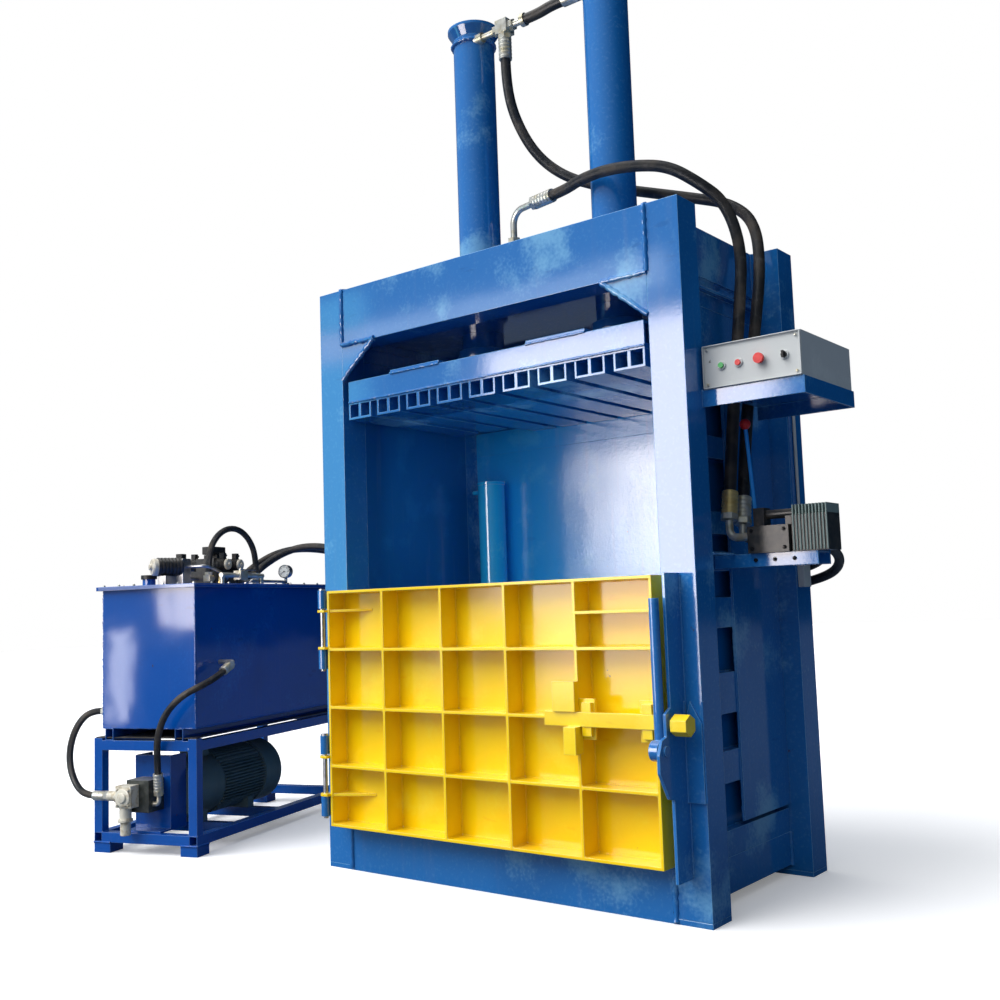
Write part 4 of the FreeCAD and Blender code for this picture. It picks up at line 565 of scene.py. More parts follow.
# %% Give every node its finish
FINISHES = {
    press_blue: ["corner_posts", "base_frame", "top_beams", "side_ties", "cylinder_deck", "chamber_floor",
                 "side_ribs", "cylinder_barrels", "cylinder_caps", "cylinder_glands",
                 "platen_frame", "platen_channels", "latch_plate", "latch_lever",
                 "hinge_sleeves", "control_shelf", "valve_shelf"],
    # The side walls take a darker copy of the press blue, which is painted shade.
    shaded_chamber_blue: ["side_walls"],
    # The rear wall takes a brighter copy of the press blue, which is painted light.
    lit_rear_blue: ["rear_wall"],
    # The upright cylinder takes a brighter copy of the press blue, which is painted light.
    lit_upright_blue: ["upright_cylinder"],
    unit_blue: ["skid_frame", "oil_tank", "tank_lid", "pump_bracket"],
    door_yellow: ["door_skin", "door_ribs", "hinge_lugs", "slide_bolt", "lock_screw"],
    chrome: ["piston_rods"],
    steel: ["hinge_pins", "motor_rotor", "ball_valve_lever", "pressure_gauge"],
    zinc: ["press_fittings", "unit_fittings"],
    cabinet_grey: ["control_cabinet", "cabinet_panel"],
    motor_paint: ["motor_body", "fan_cowl"],
    lever_blue: ["valve_lever"],
    cast_dark: ["valve_block", "valve_manifold"],
    black_plastic: ["mode_switch", "filler_cap", "motor_fan"],
    red_plastic: ["stop_button", "emergency_button", "valve_knob"],
    green_plastic: ["start_button"],
    pump_castings: ["pump_body"],
    rubber: ["cross_hose"],
}
finished = set()
for finish, names in FINISHES.items():
    for name in names:
        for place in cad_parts[name].material_slots:
            place.material = finish
        finished.add(name)
unfinished = sorted(set(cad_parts) - finished - {made.name[:-len("_rubber")] for made in hoses})
print(len(finished), "nodes finished, left over:", unfinished)

# %% [markdown]
# ## Weld beads
# The frame is welded by hand, and a lumpy bead stands in every corner where two plates meet. A bead
# is a tube along the joint, half sunk into both plates, with ripples along it and a wandering
# thickness. One Geometry Nodes tree grows it along any number of straight lines, and its result is
# made a plain mesh for each body.

# %% Growing meshes from lines


def grown(name, source, tree, values):
    """The plain mesh object that a node tree makes from a source mesh."""
    seed = placed(name, source)
    modifier = seed.modifiers.new("grow", "NODES")
    modifier.node_group = tree
    for item in tree.interface.items_tree:
        if item.in_out == "INPUT" and item.name in values:
            modifier[item.identifier] = values[item.name]
    ready = seed.evaluated_get(bpy.context.evaluated_depsgraph_get())
    mesh = bpy.data.meshes.new_from_object(ready)
    seed.modifiers.remove(modifier)
    seed.data = mesh
    mesh.name = name
    return seed


def lines_mesh(name, lines):
    """Loose edges along each line of points."""
    mesh = bpy.data.meshes.new(name)
    points, edges = [], []
    for line in lines:
        first = len(points)
        points += [tuple(p) for p in line]
        edges += [(i, i + 1) for i in range(first, len(points) - 1)]
    mesh.from_pydata(points, edges, [])
    return mesh


print("lines can be grown into meshes")

# %% Weld bead tree
weld = bpy.data.node_groups.new("weld_bead", "GeometryNodeTree")
given, result = sockets(weld, [("Lines", "Geometry", None), ("Width", "Float", 0.005),
                               ("Ripple", "Float", 0.006), ("Finish", "Material", None)],
                        [("Geometry", "Geometry")])
SIDES, RIPPLE_PACE = 6, 1.2
path = node(weld, "GeometryNodeMeshToCurve")
paced = node(weld, "GeometryNodeResampleCurve", mode="LENGTH")
round_bead = node(weld, "GeometryNodeCurvePrimitiveCircle", {"Resolution": SIDES})
tube = node(weld, "GeometryNodeCurveToMesh", {"Fill Caps": True})
shift = node(weld, "GeometryNodeSetPosition")
point_number = node(weld, "GeometryNodeInputIndex").outputs[0]
ring_number = maths(weld, "FLOOR", maths(weld, "DIVIDE", point_number, SIDES))
ripple = maths(weld, "MULTIPLY", maths(weld, "SINE", maths(weld, "MULTIPLY", ring_number, 2.4)), 0.16)
lumps = noise(weld, node(weld, "GeometryNodeInputPosition").outputs[0], 55.0, 2.0)
swelling = maths(weld, "ADD", ripple, maths(weld, "MULTIPLY", maths(weld, "SUBTRACT", lumps, 0.5), 1.5))
outward = node(weld, "ShaderNodeVectorMath", operation="SCALE")
real = node(weld, "GeometryNodeRealizeInstances")
finish = node(weld, "GeometryNodeSetMaterial")
wire(weld, (node(weld, "GeometryNodeInputNormal").outputs[0], outward.inputs[0]),
     (maths(weld, "MULTIPLY", swelling, given.outputs["Width"]), outward.inputs["Scale"]),
     (given.outputs["Lines"], path.inputs[0]), (path.outputs[0], paced.inputs["Curve"]),
     (given.outputs["Ripple"], paced.inputs["Length"]), (paced.outputs[0], tube.inputs["Curve"]),
     (given.outputs["Width"], round_bead.inputs["Radius"]),
     (round_bead.outputs[0], tube.inputs["Profile Curve"]), (tube.outputs[0], shift.inputs[0]),
     (outward.outputs[0], shift.inputs["Offset"]), (shift.outputs[0], real.inputs[0]),
     (real.outputs[0], finish.inputs[0]), (given.outputs["Finish"], finish.inputs["Material"]),
     (finish.outputs[0], result.inputs[0]))


def weld_beads(name, body, coat, lines, width=0.005):
    """Beads along joint lines, as one piece of the body."""
    made = grown(name, lines_mesh(name, lines), weld,
                 {"Width": width, "Ripple": width * RIPPLE_PACE, "Finish": coat})
    made.data.shade_smooth()
    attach(made, body)
    print(name, len(made.data.polygons), "faces")


print("weld_bead has", len(weld.nodes), "nodes")

# %% [markdown]
# The joint lines come from the frame's own sizes: beams between the posts, gussets under the beams,
# ties and ribs along the sides, and rings round the cylinders. Both sides of the press are alike, so
# each line is written once and mirrored.

# %% Beads on the press frame


def mirrored(lines):
    """Each line, and the same line on the left side."""
    return lines + [[(-x, y, z) for x, y, z in line] for line in lines]


def ring(centre, radius, height, count=40):
    """A closed ring of points round a standing pipe."""
    turns = [2 * math.pi * i / count for i in range(count + 1)]
    return [(centre[0] + radius * math.cos(t), centre[1] + radius * math.sin(t), height) for t in turns]


FRONT, BACK, INSIDE = -0.525, 0.525, 0.850
POST_BACK, BEAM_LOW, TOP, SILL = -0.380, 2.468, 2.740, 0.240
TIE_LOW, BAR_LOW, BAR_TOP, GUSSET = 2.532, 2.408, 2.482, (0.211, 0.170)
CYLINDER_X, CYLINDER_RING = (-0.395, 0.395), 0.106
frame_lines = []
for face, inner in ((FRONT, POST_BACK), (BACK, -POST_BACK)):
    beam_end = INSIDE - GUSSET[0]
    frame_lines += [[(INSIDE, face, BEAM_LOW), (INSIDE, face, TOP), (INSIDE, inner, TOP)],
                    [(INSIDE, inner, BEAM_LOW), (INSIDE, inner, TOP)],
                    [(INSIDE, face, 0.01), (INSIDE, face, SILL), (INSIDE, inner, SILL)],
                    [(INSIDE, face, BEAM_LOW - GUSSET[1]), (beam_end, face, BEAM_LOW)],
                    [(beam_end, face, BEAM_LOW), (INSIDE, face, BEAM_LOW)]]
for side in (POST_BACK, -POST_BACK):
    frame_lines += [[(0.870, side, TIE_LOW), (0.870, side, TOP)],
                    [(0.890, side, BAR_LOW), (0.890, side, BAR_TOP)],
                    [(0.905, side, 0.044), (0.905, side, 0.182)]]
frame_lines += [[(0.850, POST_BACK, TIE_LOW), (0.850, -POST_BACK, TIE_LOW)],
                [(0.872, POST_BACK, BAR_TOP), (0.872, -POST_BACK, BAR_TOP)]]
weld_beads("frame_beads", "root", press_blue, mirrored(frame_lines), 0.012)
rings = [ring((x, 0), CYLINDER_RING, height) for height in (2.562, 4.012) for x in CYLINDER_X]
weld_beads("cylinder_collars", "root", press_blue, rings, 0.010)

# %% Beads on the power unit
TANK_LEFT, TANK_RIGHT, TANK_FRONT, TANK_BACK = -0.580, -0.010, 0.010, 1.550
SKID_LEFT, SKID_BACK, HALF_TUBE, RAIL, LOW_RAIL = -0.632, 1.560, 0.050, 0.528, 0.052
tank_lines = [[unit_point(a, b, 0.629), unit_point(a, b, 1.335)]
              for a in (TANK_LEFT, TANK_RIGHT) for b in (TANK_FRONT, TANK_BACK)]
tank_lines.append([unit_point(a, b, 0.630) for a, b in (
    (TANK_LEFT, TANK_FRONT), (TANK_RIGHT, TANK_FRONT), (TANK_RIGHT, TANK_BACK), (TANK_LEFT, TANK_BACK),
    (TANK_LEFT, TANK_FRONT))])
for a, inward in ((SKID_LEFT, 1), (0.0, -1)):
    for b, along in ((0.0, 1), (SKID_BACK, -1)):
        for z in (LOW_RAIL + HALF_TUBE, RAIL):
            corner_a, corner_b = a + inward * HALF_TUBE, b + along * HALF_TUBE
            tank_lines.append([unit_point(a, corner_b, z), unit_point(corner_a, corner_b, z),
                               unit_point(corner_a, b, z)])
        if b == 0:
            tank_lines.append([unit_point(a, 0.1, LOW_RAIL), unit_point(a, 0, LOW_RAIL)])
            tank_lines.append([unit_point(a, 0, LOW_RAIL), unit_point(a + inward * 0.1, 0, LOW_RAIL)])
weld_beads("unit_beads", "root", unit_blue, tank_lines, 0.0055)

# %% Beads on the side and rear ribs
RIBS = ((0.182, 0.282), (0.463, 0.588), (0.733, 0.895), (1.074, 1.194), (1.302, 1.379), (1.450, 1.540),
        (1.760, 1.850), (2.040, 2.130))
SIDE_WALL, REAR_WALL, COVER_FRONT = 0.861, 0.486, -0.055
rib_lines = []
for low, high in RIBS:
    for z in (low, high):
        rib_lines.append([(SIDE_WALL, POST_BACK, z), (SIDE_WALL, -POST_BACK, z)])
        if low > 0.4 and high < 2.0:
            rib_lines.append([(0.0, REAR_WALL, z), (INSIDE, REAR_WALL, z)])
rib_lines.append([(0.905, COVER_FRONT, 0.300), (0.905, COVER_FRONT, 2.130)])
weld_beads("rib_beads", "root", press_blue, mirrored(rib_lines), 0.0055)

# %% Beads on shelves, latch and hinges
HINGES = ((1.205, 1.289), (0.926, 1.016), (0.537, 0.621), (0.258, 0.348))
LATCH_LOW, LATCH_HIGH = 0.447, 0.815
shelf_lines = [[(1.000, -0.402, 1.990), (1.000, 0.080, 1.990)],
               [(1.000, -0.402, 1.925), (1.000, -0.402, 1.990)],
               [(1.000, -0.200, 1.362), (1.000, -0.380, 1.362)],
               [(0.930, FRONT, 0.180), (0.930, FRONT, 1.285)],
               [(0.930, -0.537, LATCH_LOW), (0.930, -0.537, LATCH_HIGH)],
               [(1.000, -0.526, LATCH_LOW), (1.000, -0.526, LATCH_HIGH)]]
for low, high in HINGES:
    shelf_lines += [[(x, FRONT, low), (x, FRONT, high)] for x in (-0.912, -0.896)]
weld_beads("bracket_beads", "root", press_blue, shelf_lines, 0.005)

# %% Beads on the door
SKIN, RIB_EDGE, RIB = -0.536, -0.634, 0.006
COLUMNS = (-0.866, -0.520, -0.173, 0.173, 0.520, 0.866)
SHELVES = (0.220, 0.485, 0.750, 1.015, 1.280)
door_lines = []
for left, right in zip(COLUMNS, COLUMNS[1:]):
    for low, high in zip(SHELVES, SHELVES[1:]):
        x0, x1, z0, z1 = left + RIB, right - RIB, low + RIB, high - RIB
        door_lines.append([(x0, SKIN, z0), (x1, SKIN, z0), (x1, SKIN, z1), (x0, SKIN, z1), (x0, SKIN, z0)])
        door_lines += [[(x, RIB_EDGE, z), (x, SKIN, z)] for x in (x0, x1) for z in (z0, z1)]
weld_beads("door_beads", "door", door_yellow, door_lines, 0.0050)

# %% Beads on the platen
PLATEN_FRONT = -0.515
platen_lines = [[(-0.822, PLATEN_FRONT, 2.184), (0.822, PLATEN_FRONT, 2.184)]]
for middle in CYLINDER_X:
    platen_lines += [[(middle - 0.150, PLATEN_FRONT, 2.285), (middle + 0.150, PLATEN_FRONT, 2.285)],
                     ring((middle, 0), 0.131, 2.301)]
weld_beads("platen_beads", "platen", press_blue, platen_lines, 0.006)

# %% [markdown]
# ## Bolts
# A hexagon head with a washer is the same shape wherever it is. One tree puts it on every point it is
# given, turns it to the axis kept on that point, and spins each one by a different amount, as a
# spanner leaves them.

# %% Bolt tree
bolting = bpy.data.node_groups.new("hexagon_bolts", "GeometryNodeTree")
given, result = sockets(bolting, [("Places", "Geometry", None), ("Size", "Float", 0.006),
                                  ("Finish", "Material", None)],
                        [("Geometry", "Geometry")])
shape = node(bolting, "GeometryNodeJoinGeometry")
for sides, radius, top, high, low in ((6, 1.0, 1.0, 0.95, 0.25), (6, 1.0, 0.84, 0.14, 1.20),
                                      (18, 1.32, 1.26, 0.26, 0.0), (10, 0.55, 0.50, 0.35, 1.30)):
    cone = node(bolting, "GeometryNodeMeshCone",
                {"Vertices": sides, "Radius Bottom": radius, "Radius Top": top, "Depth": high})
    lifted = node(bolting, "GeometryNodeTransform", {"Translation": (0, 0, low)})
    wire(bolting, (cone.outputs["Mesh"], lifted.inputs["Geometry"]), (lifted.outputs[0], shape.inputs[0]))
axis = node(bolting, "GeometryNodeInputNamedAttribute", {"Name": "axis"}, data_type="FLOAT_VECTOR")
aim = node(bolting, "FunctionNodeAlignRotationToVector", axis="Z")
spin = node(bolting, "FunctionNodeRandomValue", {"Seed": 7}, data_type="FLOAT_VECTOR")
spin.inputs[0].default_value = (0, 0, 0)
spin.inputs[1].default_value = (0, 0, 1.05)
spun = node(bolting, "FunctionNodeRotateRotation", rotation_space="LOCAL")
each = node(bolting, "GeometryNodeInstanceOnPoints")
real = node(bolting, "GeometryNodeRealizeInstances")
finish = node(bolting, "GeometryNodeSetMaterial")
wire(bolting, (axis.outputs[0], aim.inputs["Vector"]), (aim.outputs[0], spun.inputs[0]),
     (spin.outputs[0], spun.inputs[1]), (given.outputs["Places"], each.inputs["Points"]),
     (shape.outputs[0], each.inputs["Instance"]), (spun.outputs[0], each.inputs["Rotation"]),
     (given.outputs["Size"], each.inputs["Scale"]), (each.outputs[0], real.inputs[0]),
     (real.outputs[0], finish.inputs[0]), (given.outputs["Finish"], finish.inputs["Material"]),
     (finish.outputs[0], result.inputs[0]))


def bolts(name, body, coat, size, places):
    """Hexagon bolts of one size: places is a list of (point, axis)."""
    mesh = bpy.data.meshes.new(name)
    mesh.from_pydata([tuple(point) for point, _ in places], [], [])
    kept = mesh.attributes.new("axis", "FLOAT_VECTOR", "POINT")
    for spot, (_, way) in zip(kept.data, places):
        spot.vector = way
    made = grown(name, mesh, bolting, {"Size": size, "Finish": coat})
    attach(made, body)
    print(name, len(places), "bolts")


UNIT_FRONT = Vector((math.sin(UNIT_TURN), -math.cos(UNIT_TURN), 0))
UNIT_RIGHT = Vector((math.cos(UNIT_TURN), math.sin(UNIT_TURN), 0))
ALONG_X, ALONG_Y, UP = Vector((1, 0, 0)), Vector((0, 1, 0)), Vector((0, 0, 1))
print("hexagon_bolts has", len(bolting.nodes), "nodes")

# %% Bolts on the press and the tank lid
LID, BOLT_SIZE, FIRST_ROW, BOLT_PITCH = 1.358, 0.0065, 0.008, 0.1544


def lid_point(a, b, above):
    """A point at a height above the tank's lid."""
    return unit_point(a, b, LID + above)


lid_places = [(a, b) for a in (-0.575, -0.480, -0.385, -0.205, -0.110, -0.015) for b in (FIRST_ROW, 1.552)]
lid_places += [(a, FIRST_ROW + BOLT_PITCH * step) for step in range(1, 10) for a in (-0.575, -0.015)]
lid_bolts = [(lid_point(a, b, -0.0005), UP) for a, b in lid_places]
bolts("lid_bolts", "root", zinc, BOLT_SIZE, lid_bolts)
shelf_bolts = [((x, -0.200, 1.334), -ALONG_Y) for x in (1.09, 1.17, 1.25)]
bolts("shelf_bolts", "root", black_oxide, BOLT_SIZE, shelf_bolts)

# %% [markdown]
# ## Hose ends
# A press squeezes a steel sleeve on each hose end and leaves rings in it, and a nut holds the end to
# its port. The sleeve is a lathe profile spun round the hose's own end direction, so one function
# makes every sleeve from the point where the hose leaves it.

# %% Turned shapes


def turned(start, way, profile, count=28):
    """Points and faces of a lathe profile (along, radius) spun about a direction, closed at both ends."""
    way = Vector(way).normalized()
    side = way.orthogonal().normalized()
    other = way.cross(side)
    points, faces = [], []
    for along, radius in profile:
        centre = Vector(start) + way * along
        for step in range(count):
            turn = 2 * math.pi * step / count
            points.append(centre + radius * (math.cos(turn) * side + math.sin(turn) * other))
    for row in range(len(profile) - 1):
        for step in range(count):
            after = (step + 1) % count
            faces.append((row * count + step, row * count + after, (row + 1) * count + after,
                          (row + 1) * count + step))
    last = (len(profile) - 1) * count
    faces += [tuple(range(count - 1, -1, -1)), tuple(range(last, last + count))]
    return points, faces


def box_shape(centre, across, along, up, half):
    """Points and faces of a box with its own axes."""
    points = [Vector(centre) + i * half[0] * across + j * half[1] * along + k * half[2] * up
              for i in (-1, 1) for j in (-1, 1) for k in (-1, 1)]
    return points, [(0, 1, 3, 2), (4, 6, 7, 5), (0, 4, 5, 1), (2, 3, 7, 6), (0, 2, 6, 4), (1, 5, 7, 3)]


def unit_box(centre, half):
    """A box that stands square with the power unit: half its width, depth and height."""
    return box_shape(centre, UNIT_RIGHT, -UNIT_FRONT, UP, half)


def press_box(centre, half):
    """A box that stands square with the press."""
    return box_shape(centre, ALONG_X, ALONG_Y, UP, half)


def piece(name, body, coat, shapes, bevel=0.0, smooth=True):
    """One mesh object from several shapes, with its finish and its body."""
    mesh = bpy.data.meshes.new(name)
    points, faces = [], []
    for more_points, more_faces in shapes:
        faces += [tuple(i + len(points) for i in face) for face in more_faces]
        points += [tuple(p) for p in more_points]
    mesh.from_pydata(points, [], faces)
    mesh.materials.append(coat)
    made = placed(name, mesh)
    if smooth:
        mesh.shade_smooth()
        mesh.set_sharp_from_angle(angle=math.radians(35))
    if bevel:
        softened = made.modifiers.new("soft edges", "BEVEL")
        softened.width = bevel
        softened.segments = 2
        softened.limit_method = "ANGLE"
    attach(made, body)
    print(name, len(mesh.polygons), "faces")


print("lathe and box shapes are ready")

# %% Crimped sleeves
GROOVES, HIGH_RING, LOW_RING, LEAD_IN = 5, 0.0078, 0.0066, 0.003


def sleeve(first, second, radius, length):
    """A crimped sleeve from a hose's first point outwards, away from its second point."""
    outward = (Vector(first) - Vector(second)).normalized()
    high, low = radius + HIGH_RING, radius + LOW_RING
    profile = [(-0.004, radius - 0.001), (-0.004, high - 0.001), (LEAD_IN, high)]
    pitch = (length - 2 * LEAD_IN) / GROOVES
    for groove in range(GROOVES):
        at = LEAD_IN + groove * pitch
        profile += [(at + 0.25 * pitch, high), (at + 0.40 * pitch, low), (at + 0.85 * pitch, low),
                    (at + pitch, high)]
    profile += [(length - 0.001, high), (length, high - 0.002), (length, radius)]
    return turned(first, outward, profile)


START, END = 1, -1
SLEEVES = (("rod_side_hose", START, 0.110), ("cap_side_hose", START, 0.100), ("cap_side_hose", END, 0.090),
           ("supply_hose", START, 0.070), ("return_hose", START, 0.070), ("supply_hose", END, 0.044),
           ("return_hose", END, 0.044), ("suction_hose", START, 0.066), ("pump_hose", START, 0.084),
           ("pump_hose", END, 0.050))


def hose_sleeve(name, end, length):
    """The sleeve on one end of a hose, as thick as that hose asks."""
    points, radius = hose_routes[name]
    first, second = points[::end][:2]
    return sleeve(first, second, radius, length)


sleeves = [hose_sleeve(*end) for end in SLEEVES]
piece("crimped_sleeves", "root", zinc, sleeves)
brass = metal("yellow_passivated_steel", (0.88, 0.66, 0.28), (0.76, 0.52, 0.18), 0.20, dirt=0.2,
              metallic=0.72)
piece("yellow_sleeve", "root", brass, [hose_sleeve("rod_side_hose", END, 0.090)])

# %% [markdown]
# ## What stands on the tank
# The lid is crowded: two solenoid valves with ribbed coils and pale end caps, cable plugs, bent steel
# pipes, a filler and a gauge. The gauge has a printed dial under glass, whose ticks and needle are
# thin raised pieces so that they stay sharp.

# %% Solenoid coils and plugs
COIL_REACH = 0.065


def ribbed(first, count, pitch, low, high, rise):
    """Lathe points of a coil with ribs: each rib is five rises wide at its top."""
    points = []
    for at in [first + rib * pitch for rib in range(count)]:
        points += [(at, low), (at + rise, high), (at + 6 * rise, high), (at + 7 * rise, low)]
    return points


cap_profile = [(0, 0.012), (0, 0.0300), (0.010, 0.0300), (0.014, 0.026), (0.014, 0.012), (0.022, 0.010),
               (0.024, 0.006)]
cable_profile = [(0, 0.008), (0.024, 0.008), (0.026, 0.0065), (0.034, 0.0065)]
ribs = ribbed(0.0, 6, 0.0095, 0.0285, 0.0335, 0.001)
coil_shapes, cap_shapes, plug_shapes = [], [], []
for middle in (0.525, 0.645):
    for start, way in ((-0.230, 1), (-0.350, -1)):
        coil_shapes.append(turned(lid_point(start, middle, 0.115), UNIT_RIGHT * way, ribs))
        cap_at = lid_point(start + way * (COIL_REACH - 0.004), middle, 0.115)
        cap_shapes.append(turned(cap_at, UNIT_RIGHT * way, cap_profile))
        plug_at = lid_point(start + way * 0.034, middle, 0.162)
        plug_shapes.append(unit_box(plug_at, (0.014, 0.014, 0.017)))
        plug_shapes.append(turned(plug_at + UP * 0.004, -UNIT_FRONT, cable_profile, 14))
piece("solenoid_coils", "root", cast_dark, coil_shapes)
piece("solenoid_caps", "root", cast_cream, cap_shapes)
piece("solenoid_plugs", "root", black_plastic, plug_shapes, bevel=0.002)

# %% Pressure gauge dial
dial_centre = lid_point(-0.110, 1.0215, 0.080)
bezel = [(-0.001, 0.0345), (0.002, 0.0345), (0.002, 0.0395), (-0.006, 0.0405), (-0.010, 0.0385)]
piece("gauge_bezel", "root", steel, [turned(dial_centre, UNIT_FRONT, bezel[::-1])])
piece("gauge_face", "root", dial_white,
      [turned(dial_centre, UNIT_FRONT, [(0, 0.0340), (0.0008, 0.0340), (0.0010, 0.0330)])], smooth=False)
TICKS, SWEEP, READING = 25, math.radians(270), -2.1
marks = []
for tick in range(TICKS):
    turn = SWEEP * (tick / (TICKS - 1) - 0.5)
    outwards = math.sin(turn) * UNIT_RIGHT + math.cos(turn) * UP
    around = UNIT_FRONT.cross(outwards)
    long, wide = (0.0042, 0.0009) if tick % 4 == 0 else (0.0022, 0.0005)
    middle = dial_centre + outwards * (0.0310 - long) + UNIT_FRONT * 0.0012
    marks.append(box_shape(middle, outwards, around, UNIT_FRONT, (long, wide, 0.0004)))
needle = math.sin(READING) * UNIT_RIGHT + math.cos(READING) * UP
marks.append(box_shape(dial_centre + needle * 0.008 + UNIT_FRONT * 0.0022, needle, UNIT_FRONT.cross(needle),
                       UNIT_FRONT, (0.017, 0.0009, 0.0004)))
marks.append(turned(dial_centre, UNIT_FRONT, [(0.0008, 0.004), (0.003, 0.004), (0.0034, 0.003)], 16))
piece("gauge_marks", "root", black_plastic, marks, smooth=False)

# %% [markdown]
# ## Thin sheet
# Light covers close the gaps between the posts above the chamber's walls, a thin near-black sheet under
# the tank is painted shade in the dark band below it, and the lid's edge is folded over, with paler paint on
# the fold as a painted highlight, a thin pale line. Each is a plain box a few millimetres thick, because a
# sheet needs nothing more.

# %% Covers, the dark sheet under the tank and the lid's folded rim
covers = [press_box((side * 0.855, 0, 2.331), (0.0025, 0.380, 0.201)) for side in (-1, 1)]
covers.append(press_box((0, 0.480, 2.165), (INSIDE, 0.004, 0.036)))
piece("side_covers", "root", press_blue, covers)
# A thin near-black sheet under the tank: painted shade in the dark band beneath it.
shade_sheet = unit_box(unit_point(-0.316, 0.780, 0.581), (0.310, 0.774, 0.002))
piece("drip_tray", "root", cast_dark, [shade_sheet])
# The fold's paler blue is a painted highlight: a lighter copy of the unit's blue along the lid's edge.
lid_rim_painted_highlight = painted("lid_rim_enamel", (0.20, 0.27, 0.56), (0.30, 0.38, 0.66), (0.10, 0.16, 0.42),
                    (0.42, 0.50, 0.76), ior=1.8, amount=0.2)
front_fold, side_fold = (UNIT_FRONT + UP).normalized(), (UNIT_RIGHT + UP).normalized()
rims = [box_shape(unit_point(-0.295, -0.0075, 1.3545), UNIT_RIGHT, front_fold, UNIT_RIGHT.cross(front_fold),
                  (0.301, 0.001, 0.005)),
        box_shape(unit_point(0.0025, 0.780, 1.3545), UNIT_FRONT, side_fold, UNIT_FRONT.cross(side_fold),
                  (0.790, 0.001, 0.005)),
        box_shape(unit_point(-0.295, -0.0125, 1.347), UNIT_RIGHT, UNIT_FRONT, UP, (0.300, 0.002, 0.009))]
piece("lid_rim", "root", lid_rim_painted_highlight, rims)

# %% [markdown]
# ## Relief valve and pipes
# A big relief valve with a ribbed coil lies at the front of the lid, and bent steel pipes join the
# valves. The coil is one more lathe profile, and each pipe is a round line through a few points.

# %% Relief valve beside the manifold
relief_middle = lid_point(-0.335, 0.215, 0.100)
relief_way = (UNIT_FRONT - 0.75 * UNIT_RIGHT).normalized()
relief_rings = [(-0.080, 0.020), (-0.080, 0.044)] + ribbed(-0.074, 7, 0.019, 0.044, 0.050, 0.002)
piece("relief_coil", "root", cast_dark, [turned(relief_middle, relief_way, relief_rings)])
relief_cap = [(0.050, 0.020), (0.052, 0.046), (0.074, 0.046), (0.082, 0.040), (0.082, 0.018), (0.094, 0.016),
              (0.096, 0.008)]
piece("relief_cap", "root", cast_cream, [turned(relief_middle, relief_way, relief_cap)])
relief_block = unit_box(lid_point(-0.300, 0.290, 0.072), (0.038, 0.036, 0.072))
relief_foot = unit_box(lid_point(-0.335, 0.215, 0.026), (0.026, 0.045, 0.028))
piece("relief_block", "root", steel, [relief_block, relief_foot], bevel=0.003)
terminal_box = unit_box(lid_point(-0.290, 0.575, 0.196), (0.036, 0.062, 0.022))
terminal_leg = unit_box(lid_point(-0.290, 0.595, 0.160), (0.020, 0.014, 0.020))
piece("terminal_box", "root", black_plastic, [terminal_box, terminal_leg], bevel=0.004)
tall_plug = unit_box(lid_point(-0.300, 0.290, 0.156), (0.020, 0.020, 0.014))
piece("relief_plug", "root", black_plastic, [tall_plug], bevel=0.003)

# %% Steel pipes on the lid


def bent_pipe(name, points, radius, coat):
    """A rigid steel pipe along a smooth line, made a plain mesh."""
    along = bpy.data.objects.new(name, round_line(name, points, radius, 1.0, 8, 4))
    mesh = bpy.data.meshes.new_from_object(along)
    bpy.data.objects.remove(along)
    mesh.materials.clear()
    mesh.materials.append(coat)
    mesh.shade_smooth()
    made = placed(name, mesh)
    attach(made, "root")
    print(name, len(mesh.polygons), "faces")


PIPE_RADIUS = 0.0085
pipe_routes = {
    "gauge_pipe": [(-0.200, 0.690, 0.020), (-0.150, 0.690, 0.020), (-0.110, 0.690, 0.020),
                   (-0.110, 0.730, 0.020), (-0.110, 0.900, 0.020), (-0.110, 1.032, 0.020),
                   (-0.110, 1.040, 0.010)],
    "drain_pipe": [(-0.380, 0.560, 0.040), (-0.430, 0.560, 0.040), (-0.470, 0.560, 0.044),
                   (-0.480, 0.600, 0.060), (-0.480, 0.800, 0.080), (-0.480, 0.900, 0.100),
                   (-0.474, 0.955, 0.100)],
    "pilot_pipe": [(-0.200, 0.500, 0.055), (-0.150, 0.500, 0.055), (-0.130, 0.480, 0.055),
                   (-0.130, 0.430, 0.055), (-0.130, 0.400, 0.040), (-0.130, 0.396, 0.004)],
    "relief_pipe": [(-0.262, 0.290, 0.100), (-0.200, 0.290, 0.100), (-0.150, 0.300, 0.100),
                    (-0.145, 0.380, 0.085), (-0.145, 0.470, 0.050), (-0.160, 0.520, 0.030),
                    (-0.204, 0.530, 0.030)],
    "sump_pipe": [(-0.330, 0.326, 0.040), (-0.330, 0.380, 0.040), (-0.330, 0.430, 0.040),
                  (-0.330, 0.474, 0.040)],
    "return_pipe": [(-0.380, 0.660, 0.040), (-0.440, 0.660, 0.040), (-0.530, 0.660, 0.040),
                    (-0.540, 0.760, 0.040), (-0.540, 1.150, 0.040), (-0.540, 1.300, 0.030),
                    (-0.540, 1.310, 0.004)],
}
for name, route in pipe_routes.items():
    line = [lid_point(a, b, z) for a, b, z in route]
    bent_pipe(name, line, PIPE_RADIUS, brass if name == "pilot_pipe" else steel)

# %% [markdown]
# ## Control box, hand valve and motor
# The control box gets a proud door edge, screws, cable glands behind it and a steel conduit that runs
# down the rear post to a junction box. The hand valve's coil has cooling fins and cap screws, and the
# motor has bolts round its end shield and a lifting eye. Parts that repeat come from one list of
# places each, so that their spacing stays even.

